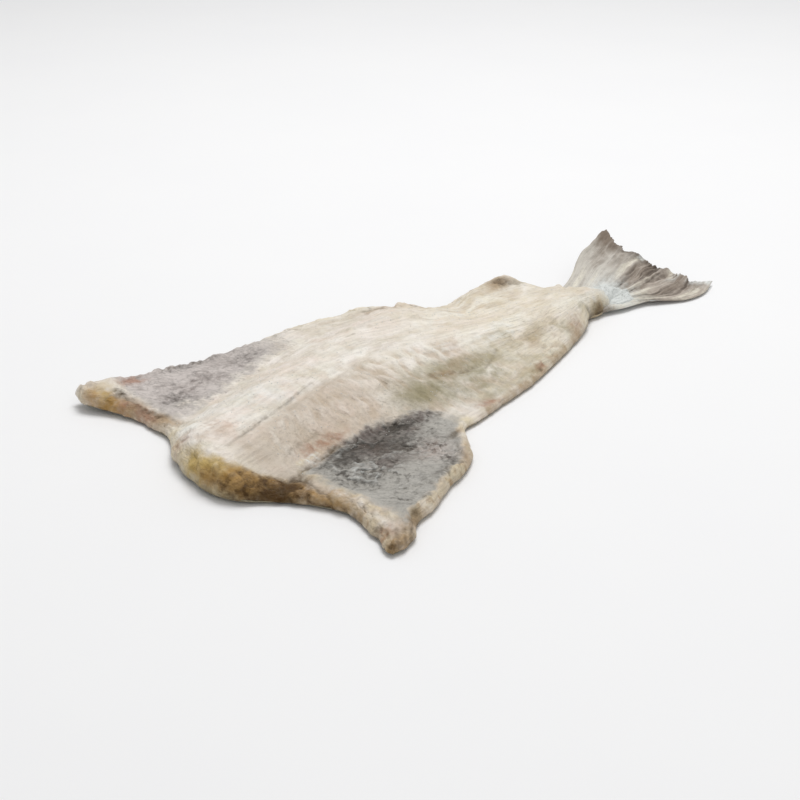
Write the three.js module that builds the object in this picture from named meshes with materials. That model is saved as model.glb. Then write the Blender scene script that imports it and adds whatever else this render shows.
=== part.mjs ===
// A salted dried cod: headless, split along the belly, opened flat with the flesh side up, tail on.
// Millimetres, +X from neck to tail, +Y to the fish's left flank, +Z up. The fish lies on its skin.
// Outline places are measured from the midpoint between the two collar horns, on the ground.
import * as THREE from "three";

// Driving dimensions
const LOIN_THICKNESS = 21; // flesh beside the groove, close behind the neck
const FLAP_THICKNESS = 6.5; // belly flap, away from its rolled rim
const FLANK_THICKNESS = 4.8; // edge of the flanks behind the flaps
const STEM_THICKNESS = 17; // the stem that carries the tail fin
const FIN_THICKNESS = 2.2; // tail fin, over its rays
const RIM_WAIST = 0.36; // height of the outermost line of an edge, as a share of the thickness
const RIM_ROUNDING = 0.72; // how far the rounding of an edge reaches in, as a share of the thickness
const SOLE_ROUNDING = 5; // how far the rounding of the underside reaches in
const FAN_LIFT = 33; // height of the far fin lobe above the ground
const FLANK_LIFT = 9; // curl of the left flank behind the flap
const HORN_LIFT = 5; // curl of the left collar horn
const STEM_X = 348; // narrowest place, where the stem meets the fin
const STEM_SHARE = 0.76; // share of the mesh rows in front of that place

// Corners of the outline: the two horns at the neck and the two lobes of the tail fin
const RIGHT_HORN = { x: 3, y: -144 };
const LEFT_HORN = { x: -14, y: 136 };
const RIGHT_LOBE = { x: 460, y: -28 };
const LEFT_LOBE = { x: 425, y: 52 };

// Right side of the outline, as [x, y]: horn, belly flap, notch, flank, stem and fin
const RIGHT_SIDE = [
  [RIGHT_HORN.x, RIGHT_HORN.y],
  [13, -144],
  [24, -140],
  [34, -131],
  [52, -126],
  [78, -114],
  [100, -107],
  [113, -99],
  [121, -90],
  [131, -77],
  [138, -69],
  [150, -67],
  [167, -64],
  [185, -60],
  [203, -57],
  [221, -53],
  [242, -47],
  [263, -40],
  [280, -34],
  [296, -28],
  [307, -24],
  [318, -19],
  [334, -9],
  [342, -10],
  [350, -10],
  [366, -15],
  [380, -17],
  [391, -20],
  [400, -26],
  [417, -35],
  [438, -36],
  [RIGHT_LOBE.x, RIGHT_LOBE.y],
];

// Left side of the outline, as [x, y], with the step where the small fin lobe ends
const LEFT_SIDE = [
  [LEFT_HORN.x, LEFT_HORN.y],
  [-4, 136],
  [12, 131],
  [42, 129],
  [76, 127],
  [106, 124],
  [125, 125],
  [143, 127],
  [157, 128],
  [170, 124],
  [182, 118],
  [194, 113],
  [204, 113],
  [213, 111],
  [219, 103],
  [226, 90],
  [232, 92],
  [238, 90],
  [243, 79],
  [248, 67],
  [258, 66],
  [268, 69],
  [281, 69],
  [294, 69],
  [308, 68],
  [318, 66],
  [323, 61],
  [327, 48],
  [335, 36],
  [343, 38],
  [352, 38],
  [364, 40],
  [374, 43],
  [385, 48],
  [393, 50],
  [400, 48],
  [LEFT_LOBE.x, LEFT_LOBE.y],
];

// Front of the outline, as [y, x]: flap edge, bulging neck cut and flap edge
const NECK_EDGE = [
  [RIGHT_HORN.y, RIGHT_HORN.x],
  [-137, 3],
  [-130, 7],
  [-120, 10],
  [-110, 13],
  [-97, 15],
  [-87, 13],
  [-76, 8],
  [-61, -1],
  [-52, -10],
  [-44, -19],
  [-36, -24],
  [-28, -27],
  [-14, -28],
  [2, -25],
  [12, -23],
  [22, -19],
  [31, -15],
  [40, -9],
  [52, -3],
  [67, -2],
  [82, -2],
  [95, -5],
  [108, -10],
  [122, -18],
  [LEFT_HORN.y, LEFT_HORN.x],
];

// Trailing edge of the tail fin, as [y, x]
const FIN_EDGE = [
  [RIGHT_LOBE.y, RIGHT_LOBE.x],
  [-22, 448],
  [-6, 437],
  [12, 426],
  [24, 421],
  [34, 417],
  [LEFT_LOBE.y, LEFT_LOBE.x],
];

// Lines on the flesh side, as [x, y]
const CENTRE_LINE = [
  [-24, -12],
  [8, -6],
  [53, 7],
  [105, 24],
  [150, 34],
  [215, 17],
  [263, 6],
  [330, 2],
  [440, 6],
];
const VALLEY_LINE = [
  [140, -4],
  [183, -17],
  [225, -14],
  [300, -5],
];
const RIGHT_FLAP_LINE = [
  [-24, -62],
  [21, -47],
  [50, -40],
  [101, -40],
  [127, -43],
  [150, -57],
  [221, -56],
  [296, -32],
  [334, -18],
];
const LEFT_FLAP_LINE = [
  [-24, 46],
  [18, 61],
  [77, 80],
  [122, 93],
  [160, 103],
  [213, 103],
  [250, 74],
  [308, 76],
  [334, 48],
];

// Thickness of the flesh along the fish, as [x, share of the loin's thickness]
const LOIN_PROFILE = [
  [-24, 0.98],
  [20, 1],
  [60, 0.93],
  [110, 0.82],
  [160, 0.76],
  [260, 0.78],
  [320, 0.8],
];

// Mesh fineness
const ALONG_STEPS = 64;
const ACROSS_STEPS = 36;
const OUTLINE_STEPS = 130; // on each of the four sides

const lerp = THREE.MathUtils.lerp;
const smoothstep = THREE.MathUtils.smoothstep;

/** A smooth curve through rows of [place, value], with slopes averaged from the neighbours. */
function through(rows, place) {
  const last = rows.length - 1;
  if (place <= rows[0][0]) return rows[0][1];
  if (place >= rows[last][0]) return rows[last][1];
  const slope = (k) => (rows[k + 1][1] - rows[k][1]) / (rows[k + 1][0] - rows[k][0]);
  const tangent = (k) => (slope(Math.max(k - 1, 0)) + slope(Math.min(k, last - 1))) / 2;
  let k = 0;
  while (rows[k + 1][0] < place) k += 1;
  const span = rows[k + 1][0] - rows[k][0];
  const t = (place - rows[k][0]) / span;
  const rise = (3 - 2 * t) * t * t;
  const bend = span * t * (1 - t) * ((1 - t) * tangent(k) - t * tangent(k + 1));
  return lerp(rows[k][1], rows[k + 1][1], rise) + bend;
}

/** A bell of height 1 at distance 0, about `width` wide at half height. */
function bell(distance, width) {
  return Math.exp(-2.77 * (distance / width) ** 2);
}

/** 1 between `start` and `end`, falling smoothly to 0 over `fade` outside them. */
function between(value, start, end, fade) {
  return smoothstep(value, start - fade, start) * (1 - smoothstep(value, end, end + fade));
}

/** Place along one side at u: both sides pass the stem at the same u. */
function station(hornX, lobeX, u) {
  return u < STEM_SHARE
    ? lerp(hornX, STEM_X, u / STEM_SHARE)
    : lerp(STEM_X, lobeX, (u - STEM_SHARE) / (1 - STEM_SHARE));
}

/** A value that runs from the right side, at w = 0, over the centre line, at 0.5, to the left side. */
function across(right, centre, left, w) {
  return w < 0.5 ? lerp(right, centre, 2 * w) : lerp(centre, left, 2 * w - 1);
}

/** Ground x at u and w: level between the sides, pushed out by the neck's and the fin's own edge. */
function planX(u, w) {
  const rightX = station(RIGHT_HORN.x, RIGHT_LOBE.x, u);
  const leftX = station(LEFT_HORN.x, LEFT_LOBE.x, u);
  const neckY = across(RIGHT_HORN.y, CENTRE_LINE.at(0)[1], LEFT_HORN.y, w);
  const finY = across(RIGHT_LOBE.y, CENTRE_LINE.at(-1)[1], LEFT_LOBE.y, w);
  const neckBulge = through(NECK_EDGE, neckY) - lerp(RIGHT_HORN.x, LEFT_HORN.x, w);
  const finBulge = through(FIN_EDGE, finY) - lerp(RIGHT_LOBE.x, LEFT_LOBE.x, w);
  return lerp(rightX, leftX, w) + neckBulge * (1 - u) ** 3 + finBulge * u ** 3;
}

/** Ground point of the sheet at u, from neck to tail, and w, from the right side to the left. */
function planPoint(u, w) {
  const rightY = through(RIGHT_SIDE, planX(u, 0));
  const centreY = through(CENTRE_LINE, planX(u, 0.5));
  const leftY = through(LEFT_SIDE, planX(u, 1));
  return new THREE.Vector2(planX(u, w), across(rightY, centreY, leftY, w));
}

/** The closed outline of the sheet, as points in order round it. */
function outlineLoop() {
  const loop = [];
  for (let k = 0; k < OUTLINE_STEPS; k += 1) loop.push(planPoint(k / OUTLINE_STEPS, 0));
  for (let k = 0; k < OUTLINE_STEPS; k += 1) loop.push(planPoint(1, k / OUTLINE_STEPS));
  for (let k = OUTLINE_STEPS; k > 0; k -= 1) loop.push(planPoint(k / OUTLINE_STEPS, 1));
  for (let k = OUTLINE_STEPS; k > 0; k -= 1) loop.push(planPoint(0, k / OUTLINE_STEPS));
  return loop;
}

const OUTLINE = outlineLoop();

/** Distance from a ground point to the outline. */
function edgeDistance(point) {
  const nearest = new THREE.Vector2();
  const side = new THREE.Vector2();
  let best = Infinity;
  OUTLINE.forEach((start, k) => {
    side.subVectors(OUTLINE[(k + 1) % OUTLINE.length], start);
    nearest.subVectors(point, start);
    const along = THREE.MathUtils.clamp(nearest.dot(side) / side.lengthSq(), 0, 1);
    best = Math.min(best, nearest.addScaledVector(side, -along).length());
  });
  return best;
}

/** Thickness of the sheet before its edges are rounded: thick loins, thin flaps, stem and fin. */
function thickness(x, y) {
  const rear = smoothstep(x, 230, 300);
  const fromRightFlap = y - through(RIGHT_FLAP_LINE, x);
  const fromLeftFlap = through(LEFT_FLAP_LINE, x) - y;
  const rightLoin = smoothstep(fromRightFlap, 0, lerp(50, 20, rear));
  const leftLoin = smoothstep(fromLeftFlap, 0, lerp(38, 20, rear));
  const loin = LOIN_THICKNESS * through(LOIN_PROFILE, x);
  const flap = lerp(FLAP_THICKNESS, FLANK_THICKNESS, smoothstep(x, 130, 180));
  const body = lerp(flap, loin, rightLoin * leftLoin);
  const stem = lerp(body, STEM_THICKNESS, smoothstep(x, 295, 330));
  return lerp(stem, FIN_THICKNESS, smoothstep(x, 345, 392));
}

/** Height of the underside: flat on the ground, with a curled flank, horn and fin. */
function lift(x, y) {
  const flankWidth = lerp(70, 45, smoothstep(x, 200, 260));
  const outward = y - through(LEFT_FLAP_LINE, x) + flankWidth;
  const flankStretch = smoothstep(x, 140, 235) * (1 - smoothstep(x, 300, 345));
  const flank = FLANK_LIFT * flankStretch * smoothstep(outward, 0, flankWidth);
  const horn = HORN_LIFT * smoothstep(y, 85, 140) * (1 - smoothstep(x, 10, 60));
  const fan = FAN_LIFT * smoothstep(x, 345, 420) * smoothstep(y, -42, 62);
  return flank + horn + fan;
}

/** Relief of the flesh side: groove, ridge of the backbone, valley, lobes and rolled rims. */
function relief(x, y, edge) {
  const fromCentre = y - through(CENTRE_LINE, x);
  const fromValley = y - through(VALLEY_LINE, x);
  const groove = -2.4 * bell(fromCentre, 9) * between(x, 4, 118, 24);
  const ridge = 2.6 * bell(fromCentre, 26) * between(x, 175, 320, 30);
  const valley = -4.2 * bell(fromValley, 34) * between(x, 165, 265, 35);
  const crevice = -1.6 * bell(y - through(RIGHT_FLAP_LINE, x) + 2, 12) * between(x, 15, 115, 20);
  const flankRidges = 0.9 * Math.sin(fromCentre / 5.6) * between(x, 190, 320, 40) * smoothstep(y, 8, 24);
  const onFlap = (1 - smoothstep(x, 110, 155)) * smoothstep(Math.abs(y), 52, 82);
  const flapWaves = 0.8 * Math.sin(x / 9 + y / 14) * onFlap;
  const rolledRim = 1.8 * bell(edge - 5, 8) * onFlap;
  const finLobe = 4 * bell(Math.hypot(x - 312, y - 67), 22);
  const horns = 3 * bell(Math.hypot(x - 2, y - 126), 24) + 3.5 * bell(Math.hypot(x - 16, y + 132), 24);
  const flap = crevice + flapWaves + rolledRim + horns;
  return groove + ridge + valley + flankRidges + finLobe + flap;
}

/** Quarter round: 0 at the edge, 1 once `reach` inside it. */
function rounding(edge, reach) {
  return Math.sqrt(1 - (1 - Math.min(edge / reach, 1)) ** 2);
}

/** Heights of the flesh side and of the skin side at a ground point. */
function heights(point) {
  const edge = edgeDistance(point);
  const thick = thickness(point.x, point.y);
  const base = lift(point.x, point.y);
  const waist = RIM_WAIST * Math.min(thick, LOIN_THICKNESS / 2);
  const shoulder = rounding(edge, RIM_ROUNDING * thick);
  const sole = rounding(edge, Math.min(SOLE_ROUNDING, thick));
  const finShare = smoothstep(point.x, 345, 385);
  const top = thick - waist + relief(point.x, point.y, edge) * (1 - finShare);
  return { flesh: base + waist + top * shoulder, skin: base + waist * (1 - sole) };
}

/** Grid position k of `steps`, with rows closer together near both ends. */
function clustered(k, steps) {
  return (1 - Math.cos((Math.PI * k) / steps)) / 2;
}

/** Two triangles for cell i, j of the mesh: cut through the outline's corner, or the shorter way. */
function cellTriangles(i, j, grid) {
  const columns = ACROSS_STEPS + 1;
  const a = i * columns + j;
  const b = a + columns;
  const c = b + 1;
  const d = a + 1;
  const atEnd = i === 0 || i === ALONG_STEPS - 1;
  const atSide = j === 0 || j === ACROSS_STEPS - 1;
  const shorter = grid[a].point.distanceTo(grid[c].point) <= grid[b].point.distanceTo(grid[d].point);
  const cutAtoC = atEnd && atSide ? (i === 0) === (j === 0) : shorter;
  return cutAtoC ? [[a, b, c], [a, c, d]] : [[a, b, d], [b, c, d]];
}

/** The whole fish as one closed surface: a flesh grid and a skin grid that share the outline. */
function codGeometry() {
  const columns = ACROSS_STEPS + 1;
  const rows = ALONG_STEPS + 1;
  const vertices = [];
  const skinVertex = new Map();
  const grid = [];
  for (let i = 0; i < rows; i += 1) {
    for (let j = 0; j < columns; j += 1) {
      const point = planPoint(clustered(i, ALONG_STEPS), clustered(j, ACROSS_STEPS));
      grid.push({ point, ...heights(point) });
    }
  }
  grid.forEach(({ point, flesh }) => vertices.push(point.x, point.y, flesh));
  grid.forEach(({ point, skin }, k) => {
    const onEnd = k < columns || k >= columns * (rows - 1);
    const onEdge = onEnd || k % columns === 0 || (k + 1) % columns === 0;
    if (onEdge) skinVertex.set(k, k);
    else {
      skinVertex.set(k, vertices.length / 3);
      vertices.push(point.x, point.y, skin);
    }
  });
  const triangles = [];
  for (let i = 0; i < ALONG_STEPS; i += 1) {
    for (let j = 0; j < ACROSS_STEPS; j += 1) {
      cellTriangles(i, j, grid).forEach(([a, b, c]) => {
        triangles.push(a, b, c);
        triangles.push(skinVertex.get(a), skinVertex.get(c), skinVertex.get(b));
      });
    }
  }
  const geometry = new THREE.BufferGeometry();
  geometry.setAttribute("position", new THREE.Float32BufferAttribute(vertices, 3));
  geometry.setIndex(triangles);
  return geometry;
}

/** Moves a geometry so that the middle of its box's underside is the origin. */
function standOnOrigin(geometry) {
  geometry.computeBoundingBox();
  const { min, max } = geometry.boundingBox;
  geometry.translate(-(min.x + max.x) / 2, -(min.y + max.y) / 2, -min.z);
  geometry.computeVertexNormals();
  return geometry;
}

/** Ivory salted flesh. */
function fleshMaterial() {
  return new THREE.MeshStandardMaterial({ color: 0xdcd2bd, roughness: 0.6, metalness: 0 });
}

const saltedCod = new THREE.Group();
const cod = new THREE.Mesh(standOnOrigin(codGeometry()), fleshMaterial());
cod.name = "cod";
saltedCod.add(cod);

export default saltedCod;
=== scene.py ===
"""A salted dried cod, split and opened flat, flesh side up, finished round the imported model.

Lengths in the shape formulas are millimetres in the fish's own plan: x runs from the midpoint
between the two collar horns towards the tail, y towards the left flank, z up from the ground.
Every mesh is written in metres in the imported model's frame.
"""

import logging
import math
from dataclasses import dataclass, field
from enum import Enum
from typing import Any, Callable

import bpy
import numpy as np
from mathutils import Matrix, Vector


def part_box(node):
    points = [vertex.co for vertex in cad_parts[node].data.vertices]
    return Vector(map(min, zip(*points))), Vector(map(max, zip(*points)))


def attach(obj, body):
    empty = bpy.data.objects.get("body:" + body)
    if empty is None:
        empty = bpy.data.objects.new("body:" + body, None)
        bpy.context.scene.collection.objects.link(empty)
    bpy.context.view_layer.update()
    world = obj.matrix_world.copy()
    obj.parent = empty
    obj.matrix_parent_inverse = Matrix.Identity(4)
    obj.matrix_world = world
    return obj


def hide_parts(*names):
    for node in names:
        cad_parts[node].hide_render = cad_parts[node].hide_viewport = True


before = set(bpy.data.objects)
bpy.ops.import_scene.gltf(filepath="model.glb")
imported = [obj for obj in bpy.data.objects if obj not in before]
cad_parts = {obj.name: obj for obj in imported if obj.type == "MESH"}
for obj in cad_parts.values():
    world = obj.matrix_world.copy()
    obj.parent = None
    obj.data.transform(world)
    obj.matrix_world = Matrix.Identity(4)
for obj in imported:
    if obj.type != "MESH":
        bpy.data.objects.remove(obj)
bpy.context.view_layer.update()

LOG = logging.getLogger("salted_cod")
MILLIMETRE = 0.001

Array = np.ndarray
Values = dict[str, Array]
Line = tuple[tuple[float, float], ...]
Rows = tuple[tuple[float, ...], ...]
Colour = tuple[float, float, float]
Node = bpy.types.Node
Socket = bpy.types.NodeSocket
Tree = bpy.types.NodeTree


class Slot(Enum):
    """Material slots of the record."""

    FLESH = "flesh"
    MEMBRANE = "membrane"
    SKIN = "skin"
    FIN = "fin"
    SALT = "salt"


class Tint(Enum):
    """Stains of the surface and painted shade and light on it, each kept as one value from 0 to 1
    at every vertex.
    """

    DUSK_AND_SHADE = "dusk"
    MILKY_AND_PAINTED_LIGHT = "milky"
    BLUSH = "blush"
    OLIVE_AND_SHADE = "olive"
    TAN = "tan"
    LINING = "lining"
    MAUVE = "mauve"
    PLUM = "plum"
    DARK = "dark"
    CREAM_AND_HIGHLIGHT = "cream"
    ROSY = "rosy"
    AMBER = "amber"
    CHAR = "char"
    CREASE = "crease"
    GLASSY = "glassy"
    PAINTED_PIT_SHADE = "pit"
    PAINTED_UNDER_SHADE = "under"
    SALT_AND_HIGHLIGHT = "salted"


class Lay(Enum):
    """How a stain lies: even, in patches or specks, or along the ribs or the fibres."""

    SOFT = "soft"
    PATCHY = "patchy"
    SPECKLED = "speckled"
    RIBBED = "ribbed"
    STREAKED = "streaked"


# ---------------------------------------------------------------------------------------------
# Curves, steps and noise
# ---------------------------------------------------------------------------------------------


def lerp(start: Any, end: Any, share: Any) -> Any:
    """The value `share` of the way from start to end."""
    return start + (end - start) * share


def smoothstep(value: Array, low: Any, high: Any) -> Array:
    """0 below low, 1 above high, and 3t^2 - 2t^3 between them."""
    t = np.clip((value - low) / (high - low), 0.0, 1.0)
    return t * t * (3.0 - 2.0 * t)


def fading(value: Array, low: Any, high: Any) -> Array:
    """1 below low, 0 above high, and a smooth step down between them."""
    return 1.0 - smoothstep(value, low, high)


def bell(distance: Array, width: float) -> Array:
    """exp(-2.77 (distance / width)^2): 1 at distance 0 and half at half the width."""
    return np.exp(-2.77 * (distance / width) ** 2)


def between(value: Array, start: float, end: float, fade: float) -> Array:
    """1 from start to end, falling smoothly to 0 over `fade` outside them."""
    return smoothstep(value, start - fade, start) * fading(value, end, end + fade)


def rounding(edge: Array, reach: Any) -> Array:
    """A quarter circle: 0 at the edge, 1 from `reach` inwards."""
    return np.sqrt(1.0 - (1.0 - np.clip(edge / reach, 0.0, 1.0)) ** 2)


def through(rows: Line, place: Any) -> Array:
    """A smooth curve through rows of (place, value).

    Between two rows it is the cubic Hermite curve whose slopes are the mean of the neighbouring
    chords; past the ends it keeps the end value.

    Args:
        rows: places in rising order, each with its value.
        place: where the curve is read.

    Returns:
        The values at those places.
    """
    places, values = np.asarray(rows, float).T
    chords = np.diff(values) / np.diff(places)
    slopes = np.concatenate([chords[:1], (chords[1:] + chords[:-1]) / 2.0, chords[-1:]])
    at = np.clip(place, places[0], places[-1])
    k = np.clip(np.searchsorted(places, at, side="right") - 1, 0, len(chords) - 1)
    span = places[k + 1] - places[k]
    t = (at - places[k]) / span
    bend = span * t * (1.0 - t) * ((1.0 - t) * slopes[k] - t * slopes[k + 1])
    return lerp(values[k], values[k + 1], (3.0 - 2.0 * t) * t * t) + bend


# The integer hash of a lattice corner: its odd factors, its shifts, and its word of 32 bits.
AXIS_FACTORS = np.array([73856093, 19349663, 83492791], np.int64)
SEED_FACTOR = 2654435761
HASH_MIXES = ((15, 2246822519), (13, 3266489917))
HASH_WORD = 0xFFFFFFFF


@dataclass(frozen=True)
class Noise:
    """Smooth random relief from a seeded lattice.

    Every lattice corner gets a value from an integer hash of its place and the seed. A point's
    value is the blend of its cell's corners, weighted by quintic steps.
    """

    seed: int

    def corner(self, cell: Array) -> Array:
        """Hashes whole-number places, one per column, to values from -1 to 1.

        Args:
            cell: lattice places.

        Returns:
            One value a place.
        """
        mixed = (cell * AXIS_FACTORS[: cell.shape[-1]]).sum(-1) + self.seed * SEED_FACTOR
        mixed &= HASH_WORD
        for shift, factor in HASH_MIXES:
            mixed = ((mixed ^ (mixed >> shift)) * factor) & HASH_WORD
        return ((mixed ^ (mixed >> 16)) & HASH_WORD) / 2.0**31 - 1.0

    def value(self, *places: Array) -> Array:
        """Noise from -1 to 1 at places given axis by axis, one lattice cell to each unit.

        Args:
            places: one array an axis.

        Returns:
            The noise.
        """
        point = np.stack(np.broadcast_arrays(*places), -1)
        cell = np.floor(point).astype(np.int64)
        share = point - cell
        fade = share**3 * (share * (share * 6.0 - 15.0) + 10.0)
        total = np.zeros(point.shape[:-1])
        for pick in np.ndindex(*(2,) * point.shape[-1]):
            offset = np.array(pick)
            weight = np.where(offset == 1, fade, 1.0 - fade).prod(-1)
            total += weight * self.corner(cell + offset)
        return total

    def fractal(self, size: float, *places: Array, octaves: int = 3) -> Array:
        """The sum of octaves, each half as high and half as wide as the one before.

        Args:
            size: lattice cell of the first octave.
            places: coordinates, axis by axis, in the unit of `size`.
            octaves: how many are summed.

        Returns:
            Noise of about -1 to 1.
        """
        total: Any = 0.0
        for k in range(octaves):
            scale = 2.0**k / size
            total = total + self.value(*(p * scale + 17.3 * k for p in places)) / 2.0**k
        return total / 1.4

    def creases(self, size: float, *places: Array, octaves: int = 2) -> Array:
        """1 - |noise| squared: narrow crests along the noise's zero lines, from 0 to 1."""
        return (1.0 - np.abs(np.clip(self.fractal(size, *places, octaves=octaves), -1, 1))) ** 2


# ---------------------------------------------------------------------------------------------
# Meshes
# ---------------------------------------------------------------------------------------------


@dataclass
class Piece:
    """One mesh under construction: vertices in plan millimetres, and faces of several sizes."""

    name: str
    vertices: Array
    faces: list[Array]
    values: Values = field(default_factory=dict)

    def normals(self) -> Array:
        """Unit vertex normals: each face's cross product of two chords, summed at its corners.

        Returns:
            One vector a vertex.
        """
        total = np.zeros_like(self.vertices)
        for block in self.faces:
            corners = self.vertices[block]
            across = corners[:, 2] - corners[:, 0]
            along = corners[:, -1] - corners[:, 1]
            normal = np.cross(across, along)
            for k in range(block.shape[1]):
                np.add.at(total, block[:, k], normal)
        return total / np.maximum(np.linalg.norm(total, axis=1, keepdims=True), 1e-9)

    def push(self, amount: Array) -> None:
        """Moves every vertex along its normal by its amount."""
        self.vertices = self.vertices + self.normals() * amount[:, None]

    def make(self, origin: Array, material: bpy.types.Material, slot: Slot) -> bpy.types.Object:
        """Writes the mesh, links its object, gives it its material and seats it on the root body.

        Args:
            origin: the plan place that becomes the model's origin.
            material: the piece's finish.
            slot: the record's slot for it; not used.

        Returns:
            The new object, at the origin, unturned and unscaled.
        """
        mesh = bpy.data.meshes.new(self.name)
        sizes = np.concatenate([np.full(len(b), b.shape[1]) for b in self.faces])
        corners = np.concatenate([b.ravel() for b in self.faces]).astype(np.int32)
        mesh.vertices.add(len(self.vertices))
        mesh.vertices.foreach_set("co", ((self.vertices - origin) * MILLIMETRE).ravel())
        mesh.loops.add(len(corners))
        mesh.loops.foreach_set("vertex_index", corners)
        mesh.polygons.add(len(sizes))
        starts = np.concatenate([[0], np.cumsum(sizes)[:-1]]).astype(np.int32)
        mesh.polygons.foreach_set("loop_start", starts)
        mesh.polygons.foreach_set("use_smooth", np.ones(len(sizes), bool))
        mesh.update(calc_edges=True)
        for name, value in self.values.items():
            kind = "FLOAT_VECTOR" if value.ndim == 2 else "FLOAT"
            attribute = mesh.attributes.new(name, kind, "POINT")
            attribute.data.foreach_set("vector" if value.ndim == 2 else "value", value.ravel())
        mesh.validate()
        mesh.materials.append(material)
        made = bpy.data.objects.new(self.name, mesh)
        bpy.context.scene.collection.objects.link(made)
        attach(made, "root")
        LOG.info("%s: %d vertices, %d faces", self.name, len(self.vertices), len(sizes))
        return made


def spread(count: int, zone: float, steps: int) -> Array:
    """count + 1 places from 0 to 1: quarter-circle steps over `zone` at both ends, even between.

    Args:
        count: number of steps.
        zone: share of each end.
        steps: steps in each end.

    Returns:
        The places.
    """
    arc = zone * (1.0 - np.cos(np.linspace(0.0, np.pi / 2, steps + 1)))
    even = np.linspace(zone, 1.0 - zone, count - 2 * steps + 1)[1:-1]
    return np.concatenate([arc, even, 1.0 - arc[::-1]])


def points(x: Array, y: Array, z: Array) -> Array:
    """Places in space, with their three coordinates along the last axis."""
    return np.stack([x, y, z], -1)


def bordered(grid: Array, value: float) -> Array:
    """The grid, with its first and last row and column set to one value."""
    grid[0], grid[-1], grid[:, 0], grid[:, -1] = value, value, value, value
    return grid


def gathered(source: Array, *grids: Array) -> list[Array]:
    """Each grid's values at the flat places that a piece's vertices come from."""
    return [grid.ravel()[source] for grid in grids]


def grid_quads(index: Array) -> Array:
    """Quads of an index grid, facing up where rows run along x and columns along y."""
    corners = [index[:-1, :-1], index[1:, :-1], index[1:, 1:], index[:-1, 1:]]
    return np.stack(corners, -1).reshape(-1, 4)


def closed_sheet(name: str, top: Array, sole: Array) -> tuple[Piece, Array]:
    """A closed sheet from two grids that share their rim.

    Args:
        name: the piece's name.
        top: rows by columns of upper points.
        sole: the lower points; its outermost ring is taken from `top`.

    Returns:
        The piece, and for each of its vertices the flat place in the grid it comes from.
    """
    rows, columns = top.shape[:2]
    upper = np.arange(rows * columns).reshape(rows, columns)
    lower = upper.copy()
    inner = upper[1:-1, 1:-1]
    lower[1:-1, 1:-1] = rows * columns + np.arange(inner.size).reshape(inner.shape)
    vertices = np.concatenate([top.reshape(-1, 3), sole[1:-1, 1:-1].reshape(-1, 3)])
    source = np.concatenate([upper.ravel(), inner.ravel()])
    faces = [grid_quads(upper), grid_quads(lower)[:, ::-1]]
    return Piece(name, vertices, faces), source


def coarse_sole(name: str, top: Array, sole: Array, step: int) -> tuple[Piece, Array, int]:
    """A closed sheet whose lower side has one vertex for every `step` of its upper side.

    Inner cells of the lower side are quads. Cells on the rim take all the fine rim vertices of
    their side, so the seam stays closed.

    Args:
        name: the piece's name.
        top: rows by columns of upper points; both counts less one are multiples of `step`.
        sole: the lower points on the same grid.
        step: fine cells to one coarse cell.

    Returns:
        The piece, each vertex's flat place in the grid, and the count of upper vertices.
    """
    rows, columns = top.shape[:2]
    upper = np.arange(rows * columns).reshape(rows, columns)
    lower = upper.copy()
    inner = upper[step:-1:step, step:-1:step]
    lower[step:-1:step, step:-1:step] = rows * columns + np.arange(inner.size).reshape(inner.shape)
    vertices = np.concatenate([top.reshape(-1, 3), sole.reshape(-1, 3)[inner.ravel()]])
    coarse = lower[::step, ::step]
    faces = [grid_quads(upper), grid_quads(coarse[1:-1, 1:-1])[:, ::-1]]
    # Each of the four sides in turn becomes the first column of a turned copy of the index grid.
    for turn in range(4):
        turned = np.rot90(lower, turn)
        last = turned.shape[0] - 1
        starts = np.arange(step, last - step, step)
        rim = turned[starts[:, None] + np.arange(step + 1), 0]
        within = turned[np.stack([starts + step, starts], 1), step]
        faces.append(np.concatenate([rim, within], 1)[:, ::-1])
        corner = [turned[step::-1, 0], turned[0, 1 : step + 1], turned[step, step : step + 1]]
        faces.append(np.concatenate(corner)[None])
    source = np.concatenate([upper.ravel(), inner.ravel()])
    return Piece(name, vertices, faces), source, upper.size


# ---------------------------------------------------------------------------------------------
# Form of the fish
# ---------------------------------------------------------------------------------------------


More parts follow.
